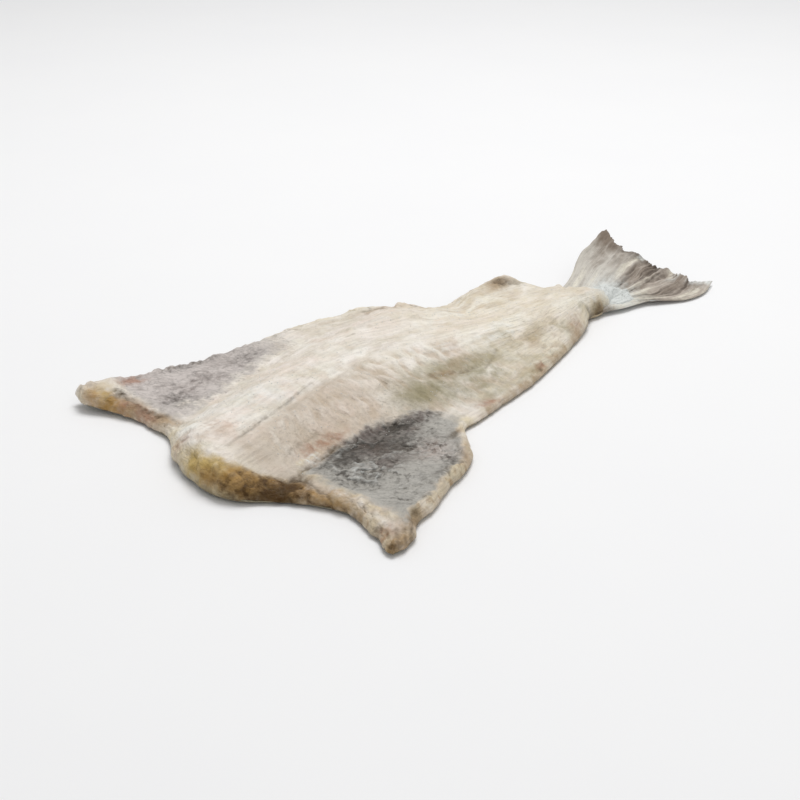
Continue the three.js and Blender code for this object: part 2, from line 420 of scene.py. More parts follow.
@dataclass(frozen=True)
class Plan:
    """The fish seen from above: its outline, and the ruled patch that fills it.

    A place on the patch is u, from the neck to the tail, and w, from the right side over the
    centre line, at 0.5, to the left side.
    """

    stem_x: float = 348.0
    stem_share: float = 0.76
    right_side: Line = (
        (3, -144), (13, -144), (24, -140), (34, -131), (52, -126), (78, -114), (100, -107),
        (113, -99), (121, -90), (131, -77), (138, -69), (150, -67), (167, -64), (185, -60),
        (203, -57), (221, -53), (242, -47), (263, -40), (280, -34), (296, -28), (307, -24),
        (318, -19), (334, -9), (342, -10), (350, -10), (366, -15), (380, -17), (391, -20),
        (400, -26), (417, -35), (438, -36), (460, -28),
    )
    left_side: Line = (
        (-14, 136), (-4, 136), (12, 131), (42, 129), (76, 127), (106, 124), (125, 125),
        (143, 127), (157, 128), (170, 124), (182, 118), (194, 113), (204, 113), (213, 111),
        (219, 103), (226, 90), (232, 92), (238, 90), (243, 79), (248, 67), (258, 66), (268, 69),
        (281, 69), (294, 69), (308, 68), (318, 66), (323, 61), (327, 48), (335, 36), (343, 38),
        (352, 38), (364, 40), (374, 43), (385, 48), (393, 50), (400, 48), (425, 52),
    )
    neck_edge: Line = (
        (-144, 3), (-137, 3), (-130, 7), (-120, 10), (-110, 13), (-97, 15), (-87, 13), (-76, 8),
        (-61, -1), (-52, -10), (-44, -19), (-36, -24), (-28, -27), (-14, -28), (2, -25),
        (12, -23), (22, -19), (31, -15), (40, -9), (52, -3), (67, -2), (82, -2), (95, -5),
        (108, -10), (122, -18), (136, -14),
    )
    fin_edge: Line = (
        (-28, 460), (-22, 448), (-6, 437), (12, 426), (24, 421), (34, 417), (52, 425),
    )
    centre_line: Line = (
        (-24, -12), (8, -6), (53, 7), (105, 24), (150, 34), (215, 17), (263, 6), (330, 2),
        (440, 6),
    )

    def station(self, horn: float, lobe: float, u: Array) -> Array:
        """Place along a side: straight from the horn to the stem, then straight to the lobe.

        Args:
            horn: x of its front end.
            lobe: x of its rear end.
            u: shares of the length.

        Returns:
            The place.
        """
        rear = (u - self.stem_share) / (1.0 - self.stem_share)
        front = lerp(horn, self.stem_x, u / self.stem_share)
        return np.where(u < self.stem_share, front, lerp(self.stem_x, lobe, rear))

    @staticmethod
    def across(right: Any, centre: Any, left: Any, w: Array) -> Array:
        """Straight from the right value to the centre's at w = 0.5, then straight to the left's."""
        return np.where(w < 0.5, lerp(right, centre, 2.0 * w), lerp(centre, left, 2.0 * w - 1.0))

    def along(self, u: Array, w: Array) -> Array:
        """x of the patch: level between the sides, pushed out by the neck's and the fin's edge.

        Args:
            u: shares of the length.
            w: shares of the width.

        Returns:
            x of each place.
        """
        right, left, neck, fin = self.right_side, self.left_side, self.neck_edge, self.fin_edge
        neck_y = self.across(right[0][1], self.centre_line[0][1], left[0][1], w)
        fin_y = self.across(right[-1][1], self.centre_line[-1][1], left[-1][1], w)
        neck_push = through(neck, neck_y) - lerp(right[0][0], left[0][0], w)
        fin_push = through(fin, fin_y) - lerp(right[-1][0], left[-1][0], w)
        right_x = self.station(right[0][0], right[-1][0], u)
        left_x = self.station(left[0][0], left[-1][0], u)
        return lerp(right_x, left_x, w) + neck_push * (1.0 - u) ** 3 + fin_push * u**3

    def point(self, u: Array, w: Array) -> tuple[Array, Array]:
        """x and y of patch places: y runs from the right side over the centre line to the left.

        Args:
            u: shares of the length.
            w: shares of the width.

        Returns:
            x and y.
        """
        right = through(self.right_side, self.along(u, np.zeros_like(w)))
        centre = through(self.centre_line, self.along(u, np.full_like(w, 0.5)))
        left = through(self.left_side, self.along(u, np.ones_like(w)))
        return self.along(u, w), self.across(right, centre, left, w)

    def from_centre(self, x: Array, y: Array) -> Array:
        """Signed distance across the fish from the centre line, positive on the left."""
        return y - through(self.centre_line, x)

    def share(self, x: Array, y: Array) -> Array:
        """Share of the width: 0 on the right side, 0.5 on the centre line, 1 on the left side.

        Args:
            x: plan places.
            y: plan places.

        Returns:
            The share at each place.
        """
        sides = (self.right_side, self.centre_line, self.left_side)
        right, centre, left = (through(line, x) for line in sides)
        near = (y - right) / np.maximum(centre - right, 1.0)
        far = (y - centre) / np.maximum(left - centre, 1.0)
        return 0.5 * (np.minimum(near, 1.0) + np.maximum(far, 0.0))

    def behind_neck(self, x: Array, y: Array) -> Array:
        """Distance behind the neck's cut edge."""
        return x - through(self.neck_edge, y)


@dataclass(frozen=True)
class Patch:
    """A part of the plan that one piece covers: ranges of u and w, drawn in at its rear end."""

    plan: Plan
    u_start: float = 0.0
    u_end: float = 1.0
    spare: float = 0.0
    tuck: float = 0.0
    rim_steps: int = 130
    front_zone: float = 0.04
    side_zone: float = 0.035

    def place(self, s: Array, t: Array) -> tuple[Array, Array, Array, Array]:
        """u, w, x and y at shares s of the length and t of the width.

        Args:
            s: shares of the length.
            t: shares of the width.

        Returns:
            u, w, x and y.
        """
        u = lerp(self.u_start, self.u_end, s)
        left_over = np.clip((self.u_end - u) / (self.u_end - self.plan.stem_share), 0.0, 1.0)
        drawn = self.tuck * (1.0 - left_over**1.8) if self.tuck else 0.0 * u
        w = lerp(drawn - self.spare, 1.0 - drawn + self.spare, t)
        x, y = self.plan.point(u, w)
        return u, w, x, y

    def grid(self, rows: int, columns: int) -> tuple[Array, ...]:
        """u, w, x and y on a grid with quarter-circle steps in its rim zones.

        Args:
            rows: steps along the fish.
            columns: steps across it.

        Returns:
            The four grids.
        """
        along = spread(rows, self.front_zone, rows // 15)
        across = spread(columns, self.side_zone, columns // 14)
        return self.place(*np.meshgrid(along, across, indexing="ij"))

    def rim(self) -> Array:
        """The closed outline, as points in order round it.

        Returns:
            One point a row.
        """
        k = np.arange(self.rim_steps) / self.rim_steps
        one, none = np.ones_like(k), np.zeros_like(k)
        s = np.concatenate([k, one, 1.0 - k, none])
        t = np.concatenate([none, k, one, 1.0 - k])
        return np.stack(self.place(s, t)[2:], -1)

    def covers(self, x: Array, y: Array) -> Array:
        """True where a ray along x crosses the outline an odd number of times.

        Args:
            x: plan places.
            y: plan places.

        Returns:
            True or false at each place.
        """
        start = self.rim()
        end = np.roll(start, -1, 0)
        px, py = np.ravel(x)[:, None], np.ravel(y)[:, None]
        spans = (start[:, 1] > py) != (end[:, 1] > py)
        rise = np.where(end[:, 1] == start[:, 1], 1.0, end[:, 1] - start[:, 1])
        meets = start[:, 0] + (py - start[:, 1]) * (end[:, 0] - start[:, 0]) / rise
        return ((spans & (px < meets)).sum(1) % 2 == 1).reshape(np.shape(x))

    def inset(self, x: Array, y: Array) -> Array:
        """Distance from plan points to the outline: the least over its straight sides.

        Args:
            x: plan places.
            y: plan places of the same shape.

        Returns:
            The distance at each place.
        """
        start = self.rim()
        side = np.roll(start, -1, 0) - start
        length = (side**2).sum(1)
        flat = np.stack([np.ravel(x), np.ravel(y)], 1)
        nearest = []
        for block in np.array_split(flat, max(1, len(flat) // 4000)):
            away = block[:, None] - start
            along = np.clip((away * side).sum(2) / length, 0.0, 1.0)
            nearest.append(np.sqrt(((away - along[..., None] * side) ** 2).sum(2)).min(1))
        return np.concatenate(nearest).reshape(np.shape(x))


@dataclass(frozen=True)
class Form:
    """Thickness, curl and relief of the fish over its plan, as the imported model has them."""

    plan: Plan
    loin: float = 21.0
    flap: float = 6.5
    flank: float = 4.8
    stem: float = 17.0
    fin: float = 2.2
    rim_waist: float = 0.36
    rim_reach: float = 0.72
    sole_reach: float = 5.0
    fan_lift: float = 33.0
    flank_lift: float = 9.0
    horn_lift: float = 5.0
    groove: float = 2.4
    backbone: float = 2.6
    valley: float = 4.2
    crevice: float = 1.6
    ripple: float = 0.5
    flap_wave: float = 0.8
    roll: float = 0.9
    humps: Rows = ((312, 67, 4, 22), (2, 126, 3, 24), (20, -128, 2.6, 24))
    valley_line: Line = ((140, -4), (183, -17), (225, -14), (300, -5))
    right_flap_line: Line = (
        (-24, -62), (21, -47), (50, -40), (101, -40), (127, -43), (150, -57), (221, -56),
        (296, -32), (334, -18),
    )
    left_flap_line: Line = (
        (-24, 46), (18, 61), (77, 80), (122, 93), (160, 103), (213, 103), (250, 74), (308, 76),
        (334, 48),
    )
    loin_profile: Line = (
        (-24, 0.98), (20, 1), (60, 0.93), (110, 0.82), (160, 0.76), (260, 0.78), (320, 0.8),
    )

    def thickness(self, x: Array, y: Array) -> Array:
        """Thin flaps, rising over a smooth step on each side to the loins, then stem and fin.

        Args:
            x: plan places.
            y: plan places.

        Returns:
            Thickness.
        """
        rear = smoothstep(x, 230, 300)
        right = smoothstep(y - through(self.right_flap_line, x), 0, lerp(50, 20, rear))
        left = smoothstep(through(self.left_flap_line, x) - y, 0, lerp(38, 20, rear))
        edge = lerp(self.flap, self.flank, smoothstep(x, 130, 180))
        body = lerp(edge, self.loin * through(self.loin_profile, x), right * left)
        stem = lerp(body, self.stem, smoothstep(x, 295, 330))
        return lerp(stem, self.fin, smoothstep(x, 345, 392))

    def lift(self, x: Array, y: Array) -> Array:
        """Height of the underside: level, with a curled left flank, left horn and tail fin.

        Args:
            x: plan places.
            y: plan places.

        Returns:
            Height.
        """
        width = lerp(70, 45, smoothstep(x, 200, 260))
        outward = y - through(self.left_flap_line, x) + width
        stretch = smoothstep(x, 140, 235) * fading(x, 300, 345)
        flank = self.flank_lift * stretch * smoothstep(outward, 0, width)
        horn = self.horn_lift * smoothstep(y, 85, 140) * fading(x, 10, 60)
        fan = self.fan_lift * smoothstep(x, 345, 420) * smoothstep(y, -42, 62)
        return flank + horn + fan

    def on_flap(self, x: Array, y: Array) -> Array:
        """1 on the two belly flaps, 0 on the loins and behind the notch."""
        return fading(x, 110, 155) * smoothstep(np.abs(y), 52, 82)

    def relief(self, x: Array, y: Array, inset: Array) -> Array:
        """Large relief: groove, backbone, valley, crevice, waves, rolled rims and three humps.

        Args:
            x: plan places.
            y: plan places.
            inset: distance to the outline.

        Returns:
            Height to add.
        """
        centre = self.plan.from_centre(x, y)
        from_valley = y - through(self.valley_line, x)
        from_crevice = y - through(self.right_flap_line, x) + 2
        flap = self.on_flap(x, y)
        humps = (high * bell(np.hypot(x - i, y - j), wide) for i, j, high, wide in self.humps)
        return (
            -self.groove * bell(centre, 9) * between(x, 4, 118, 24)
            + self.backbone * bell(centre, 26) * between(x, 175, 320, 30)
            - self.valley * bell(from_valley, 34) * between(x, 165, 265, 35)
            - self.crevice * bell(from_crevice, 12) * between(x, 15, 115, 20)
            + self.ripple * np.sin(centre / 5.6) * between(x, 190, 320, 40) * smoothstep(y, 8, 24)
            + self.flap_wave * np.sin(x / 9 + y / 14) * flap
            + self.roll * bell(inset - 5, 8) * flap
            + sum(humps)
        )

    def waist(self, thick: Array) -> Array:
        """Height of the outermost line of an edge above the underside."""
        return self.rim_waist * np.minimum(thick, self.loin / 2.0)

    def top(self, x: Array, y: Array, inset: Array, detail: Array) -> Array:
        """Height of the flesh side: the rim's waist, and above it a quarter-round shoulder.

        Args:
            x: plan places.
            y: plan places.
            inset: distance to the outline.
            detail: small relief.

        Returns:
            Height.
        """
        thick = self.thickness(x, y)
        waist = self.waist(thick)
        body = thick - waist + (self.relief(x, y, inset) + detail) * fading(x, 345, 385)
        return self.lift(x, y) + waist + body * rounding(inset, self.rim_reach * thick)

    def sole(self, x: Array, y: Array, inset: Array) -> Array:
        """Height of the skin side: level, rounded up to the waist at the rim.

        Args:
            x: plan places.
            y: plan places.
            inset: distance to the outline.

        Returns:
            Height.
        """
        thick = self.thickness(x, y)
        reach = np.minimum(self.sole_reach, thick)
        return self.lift(x, y) + self.waist(thick) * (1.0 - rounding(inset, reach))


@dataclass(frozen=True)
class Stroke:
    """A thin line on the flesh side: its points, width, strength of its colour mark (partly painted
    shade in sunken lines, partly painted highlight on raised ones), and height.
    """

    points: Line
    width: float
    stain_and_painted_light: float
    height: float
    wander: float = 1.0

    def mask(self, x: Array, y: Array) -> Array:
        """A bell over the distance to the line, made uneven by noise that shifts it by `wander`.

        Args:
            x: plan places.
            y: plan places.

        Returns:
            The mask.
        """
        points = np.array(self.points, float)
        low, high = points.min(0) - 2.5 * self.width, points.max(0) + 2.5 * self.width
        near = (x > low[0]) & (x < high[0]) & (y > low[1]) & (y < high[1])
        place = np.stack([x[near], y[near]], -1)
        drift = [Noise(seed).fractal(6, *place.T) for seed in (91, 92)]
        place = place + self.wander * np.stack(drift, -1)
        start, side = points[:-1], np.diff(points, axis=0)
        away = place[:, None] - start
        along = np.clip((away * side).sum(2) / (side**2).sum(1), 0.0, 1.0)
        distance = np.sqrt(((away - along[..., None] * side) ** 2).sum(2)).min(1)
        breaks = 0.75 + 0.45 * Noise(93).fractal(7, *place.T)
        total = np.zeros(np.shape(x))
        total[near] = bell(distance, self.width) * np.clip(breaks, 0.2, 1.0)
        return total


@dataclass(frozen=True)
class Grainwork:
    """Small relief of the flesh: fibres, flakes, creases, ribs and torn edges, in millimetres."""

    form: Form
    seed: int = 11
    flow_width: float = 190.0
    # Sunken lines; their dark colour is partly the brown of creases and cracks, partly painted
    # shade in them.
    creases: tuple[Stroke, ...] = (
        # Painted shade: the dark line along the backbone's groove.
        Stroke(((-2, -7), (11, -4), (32, 3), (55, 11), (79, 20), (94, 26)), 1.7, 0.6, -0.7, 0.7),
        Stroke(((23, -30), (40, -25), (58, -20)), 1.5, 0.45, -0.3),
        Stroke(((16, -50), (23, -45), (34, -43), (44, -40), (54, -36), (63, -35)), 2.4, 1.0, -1.1),
        Stroke(((9, -49), (17, -47), (19, -52), (18, -60), (16, -68), (16, -77)), 2.0, 1.0, -1.4),
        Stroke(((0, 114), (3, 107), (3, 99)), 3.0, 0.8, -0.8),
        Stroke(((3, 99), (2, 91), (3, 83), (5, 74), (8, 68)), 3.4, 0.85, -1.1),
        Stroke(((168, -12), (177, -17), (189, -20), (203, -21)), 3.0, 0.3, -0.9, 2.0),
        Stroke(((165, -10), (165, -25), (164, -35)), 3.0, 0.35, -0.5),
        Stroke(((202, -26), (219, -17), (228, -13)), 1.8, 0.45, -0.5),
        # Painted shade: the dark line along the hollow at the tail's root.
        Stroke(((331, -10), (342, -9), (349, -9), (355, -11)), 4.5, 0.8, -2.4),
        Stroke(((118, -77), (126, -72)), 4.0, 0.8, -1.2),
        Stroke(((107, -99), (108, -94)), 3.0, 0.6, -0.6),
        Stroke(((114, -84), (110, -91), (107, -100)), 1.8, 0.6, -0.6),
        Stroke(((30, -133), (38, -127)), 4.5, 0.7, -1.2),
        Stroke(((207, 99), (211, 95), (218, 92)), 3.0, 0.6, -0.8),
        Stroke(((160, 68), (167, 67)), 1.8, 0.5, -0.4),
        Stroke(((300, 58), (306, 52), (318, 46)), 4.0, 0.6, -1.8),
        Stroke(((2, -143), (10, -133)), 2.0, 0.4, -0.5, 0.3),
        Stroke(((8, -144), (16, -133)), 2.0, 0.5, -0.6, 0.3),
        Stroke(((14, -143), (23, -133)), 2.0, 0.4, -0.5, 0.3),
        Stroke(((19, -142), (30, -131), (36, -128)), 2.5, 0.6, -0.8, 0.3),
    )
    # Raised lines; their cream is partly the tissue's own, partly painted highlight along their
    # tops.
    ridges: tuple[Stroke, ...] = (
        Stroke(((24, -47), (25, -60), (26, -79), (25, -95), (22, -107), (22, -125)), 5.0, 1.0, 1.5),
        Stroke(((22, -125), (46, -121), (68, -116), (90, -109), (101, -103)), 5.0, 0.6, 0.8),
        Stroke(((27, -39), (34, -37), (41, -36), (48, -34)), 2.4, 0.9, 0.9),
        Stroke(((170, -50), (190, -46), (213, -39), (246, -28)), 6.0, 0.5, 0.9),
        Stroke(((187, -53), (208, -48), (231, -41), (255, -33)), 5.0, 0.5, 0.8),
        Stroke(((-10, 106), (-6, 97), (-2, 86), (0, 74), (2, 62)), 6.0, 0.7, 0.7),
        Stroke(((250, 5), (285, 0), (315, -4), (340, -3), (356, -4)), 11.0, 0.25, 2.0),
    )

    def flow(self, x: Array, y: Array) -> Array:
        """Place across the fish in millimetres, constant along its fibres."""
        return (self.form.plan.share(x, y) - 0.5) * self.flow_width

    def fibres(self, x: Array, y: Array) -> Array:
        """Soft strokes along the fish: noise about four times as long as it is wide."""
        bend = 7.0 * Noise(self.seed).fractal(34, x, y, octaves=2)
        return Noise(self.seed).fractal(1.0, x / 20, (self.flow(x, y) + bend) / 5.0, octaves=2)

    def bands(self, x: Array, y: Array) -> Array:
        """Broad low folds along the fish: noise of one octave, 90 mm long and 15 mm wide."""
        bend = 6.0 * Noise(self.seed + 3).fractal(50, x, y, octaves=1)
        return Noise(self.seed + 3).value(x / 90, (self.flow(x, y) + bend) / 15.0)

    def ribs(self, x: Array, y: Array) -> Array:
        """Strokes that run across the fish from the centre line, bent by slow noise."""
        slant = x - 0.12 * y + 5.0 * Noise(self.seed + 1).fractal(20, x, y, octaves=2)
        return Noise(self.seed + 2).fractal(1.0, slant / 4.4, (y + 0.12 * x) / 13, octaves=2)

    def gate(self, lay: Lay, x: Array, y: Array) -> Array:
        """Where a stain of a given lay shows: everywhere, or by noise through a smooth step.

        Args:
            lay: how the stain lies.
            x: plan places.
            y: plan places.

        Returns:
            0 to 1 at each place.
        """
        if lay is Lay.SOFT:
            return np.ones(np.shape(x))
        if lay is Lay.RIBBED:
            return smoothstep(self.ribs(x, y), -0.5, 0.4)
        if lay is Lay.STREAKED:
            return smoothstep(self.fibres(x, y), -0.5, 0.4)
        size, low = {Lay.PATCHY: (8.0, -0.55), Lay.SPECKLED: (3.0, -0.05)}[lay]
        return smoothstep(Noise(self.seed + 20).fractal(size, x, y), low, low + 0.7)

    def directions(self, x: Array, y: Array, z: Array) -> Values:
        """Flow vectors along the fish and along the ribs, and how ribbed each place is.

        Args:
            x: plan places.
            y: plan places.
            z: heights.

        Returns:
            The arrays by name.
        """
        right = smoothstep(-self.form.plan.from_centre(x, y), 2, 10)
        ribbed = right * between(x, 30, 205, 25) * smoothstep(y, -66, -44)
        return {
            "fibre": np.stack([x, self.flow(x, y), z], -1),
            "rib": np.stack([y + 0.12 * x, x - 0.12 * y, z], -1),
            "ribbed": ribbed,
        }

    def strokes(self, kind: tuple[Stroke, ...], x: Array, y: Array) -> tuple[Array, Array]:
        """The strongest colour mark of a set of strokes, and all their heights added; in sunken
        lines the mark is partly painted shade, on raised ones partly painted highlight.

        Args:
            kind: the strokes.
            x: plan places.
            y: plan places.

        Returns:
            Colour mark and height.
        """
        stain_and_painted_light, height = np.zeros(np.shape(x)), np.zeros(np.shape(x))
        for stroke in kind:
            mask = stroke.mask(x, y)
            stain_and_painted_light = np.maximum(stain_and_painted_light, stroke.stain_and_painted_light * mask)
            height = height + stroke.height * mask
        return stain_and_painted_light, height

    def flakes(self, x: Array, y: Array) -> Array:
        """Overlapping flakes: a saw wave across the fish bent by noise, broken into plates.

        Args:
            x: plan places.
            y: plan places.

        Returns:
            Height.
        """
        bend = 9.0 * Noise(self.seed + 5).fractal(30, x, y) + 0.22 * np.abs(self.flow(x, y))
        phase = (x - bend) / 13.0
        saw = phase - np.floor(phase)
        plates = 0.5 + 0.5 * Noise(self.seed + 6).fractal(22, x, y)
        return saw * smoothstep(1.0 - saw, 0.0, 0.12) * plates

    def cracks(self, x: Array, y: Array, inset: Array) -> Array:
        """Thin cracks near the rim, 0 to 1: a bell over a noise's zero line, broken by another.

        Args:
            x: plan places.
            y: plan places.
            inset: distance to the outline.

        Returns:
            0 to 1 at each place.
        """
        line = bell(Noise(self.seed + 13).fractal(11, x, y, octaves=2), 0.13)
        broken = smoothstep(Noise(self.seed + 14).fractal(9, x, y, octaves=1), -0.3, 0.3)
        near = fading(inset, 5, 12) * smoothstep(inset, 0.5, 2.5) * fading(x, 290, 320)
        return line * broken * near

    def fine(self, x: Array, y: Array, inset: Array) -> Array:
        """Fibres, ribs, chevrons, flakes and crumbs together.

        Args:
            x: plan places.
            y: plan places.
            inset: distance to the outline.

        Returns:
            Height of the grain.
        """
        centre = self.form.plan.from_centre(x, y)
        rear = smoothstep(x, 135, 200)
        right_loin = smoothstep(-centre, 3, 10) * smoothstep(y, -62, -40)
        fibres = self.fibres(x, y) * lerp(0.32, 0.42, rear)
        crumbs = 0.22 * Noise(self.seed + 10).fractal(3.5, x, y, octaves=2)
        ribs = self.ribs(x, y) * right_loin * (
            1.2 * between(x, 40, 125, 22) + 1.1 * between(x, 132, 196, 22)
        )
        chevrons = self.ribs(x, y) * 0.3 * between(x, 196, 300, 20) * smoothstep(-centre, 6, 16)
        plates = 0.45 * self.flakes(x, y) * smoothstep(inset, 8, 20) * (1.0 - 0.6 * rear)
        return fibres + crumbs + ribs + chevrons + plates

    def detail(self, x: Array, y: Array, inset: Array) -> Array:
        """All small relief of the flesh side.

        Args:
            x: plan places.
            y: plan places.
            inset: distance to the outline.

        Returns:
            Height to add, before the rim's rounding.
        """
        behind = self.form.plan.behind_neck(x, y)
        swell = 0.6 * Noise(self.seed + 5).fractal(34, x, y)
        swell = swell + 0.5 * Noise(self.seed + 6).fractal(10, x, y)
        lip = 0.9 * bell(inset - 15, 7) * fading(behind, 18, 30)
        crumbs = 0.7 * Noise(self.seed + 7).creases(7, x * 1.6, y) * fading(behind, 8, 26)
        lumps = 1.8 * (Noise(self.seed + 9).creases(8, x, y) - 0.5)
        lumps = lumps * lerp(0.4, 1.0, self.form.on_flap(x, y))
        torn = 0.9 * Noise(self.seed + 8).fractal(8, x, y) + lumps
        rim = torn * fading(inset, 5, 13)
        lines = self.strokes(self.creases + self.ridges, x, y)[1]
        left = self.form.plan.from_centre(x, y)
        bands = 1.1 * self.bands(x, y) * smoothstep(x, 150, 210)
        bands = bands * lerp(0.6, 1.0, smoothstep(left, -8, 10))
        dents = smoothstep(-Noise(self.seed + 12).fractal(9, 0.75 * x, y, octaves=2), 0.05, 0.6)
        dents = -1.3 * dents * smoothstep(x, 190, 240) * smoothstep(-left, 4, 14)
        relief = swell + self.fine(x, y, inset) + bands + dents + lip + crumbs + rim + lines
        return relief - 1.1 * self.cracks(x, y, inset)


# ---------------------------------------------------------------------------------------------
# Stains, painted shade and painted light
# ---------------------------------------------------------------------------------------------


@dataclass(frozen=True)
class Blot:
    """An oval mark of colour, for stains and for painted shade and light: centre, reach along and
    across its turned axis, strength and lay.
    """

    x: float
    y: float
    long: float
    wide: float
    strength: float
    turn: float = 0.0
    lay: Lay = Lay.SOFT

    def mask(self, x: Array, y: Array) -> Array:
        """strength x exp(-r^2), with r the distance in units of the oval's two reaches.

        Args:
            x: plan places.
            y: plan places.

        Returns:
            The mask.
        """
        c, s = math.cos(math.radians(self.turn)), math.sin(math.radians(self.turn))
        along = ((x - self.x) * c + (y - self.y) * s) / self.long
        across = ((y - self.y) * c - (x - self.x) * s) / self.wide
        return self.strength * np.exp(-(along**2) - across**2)


def blots(**rows: Rows) -> tuple[Blot, ...]:
    """Blots from rows of their numbers, each set of rows under the name of its lay."""
    return tuple(Blot(*row, lay=Lay(lay)) for lay, places in rows.items() for row in places)
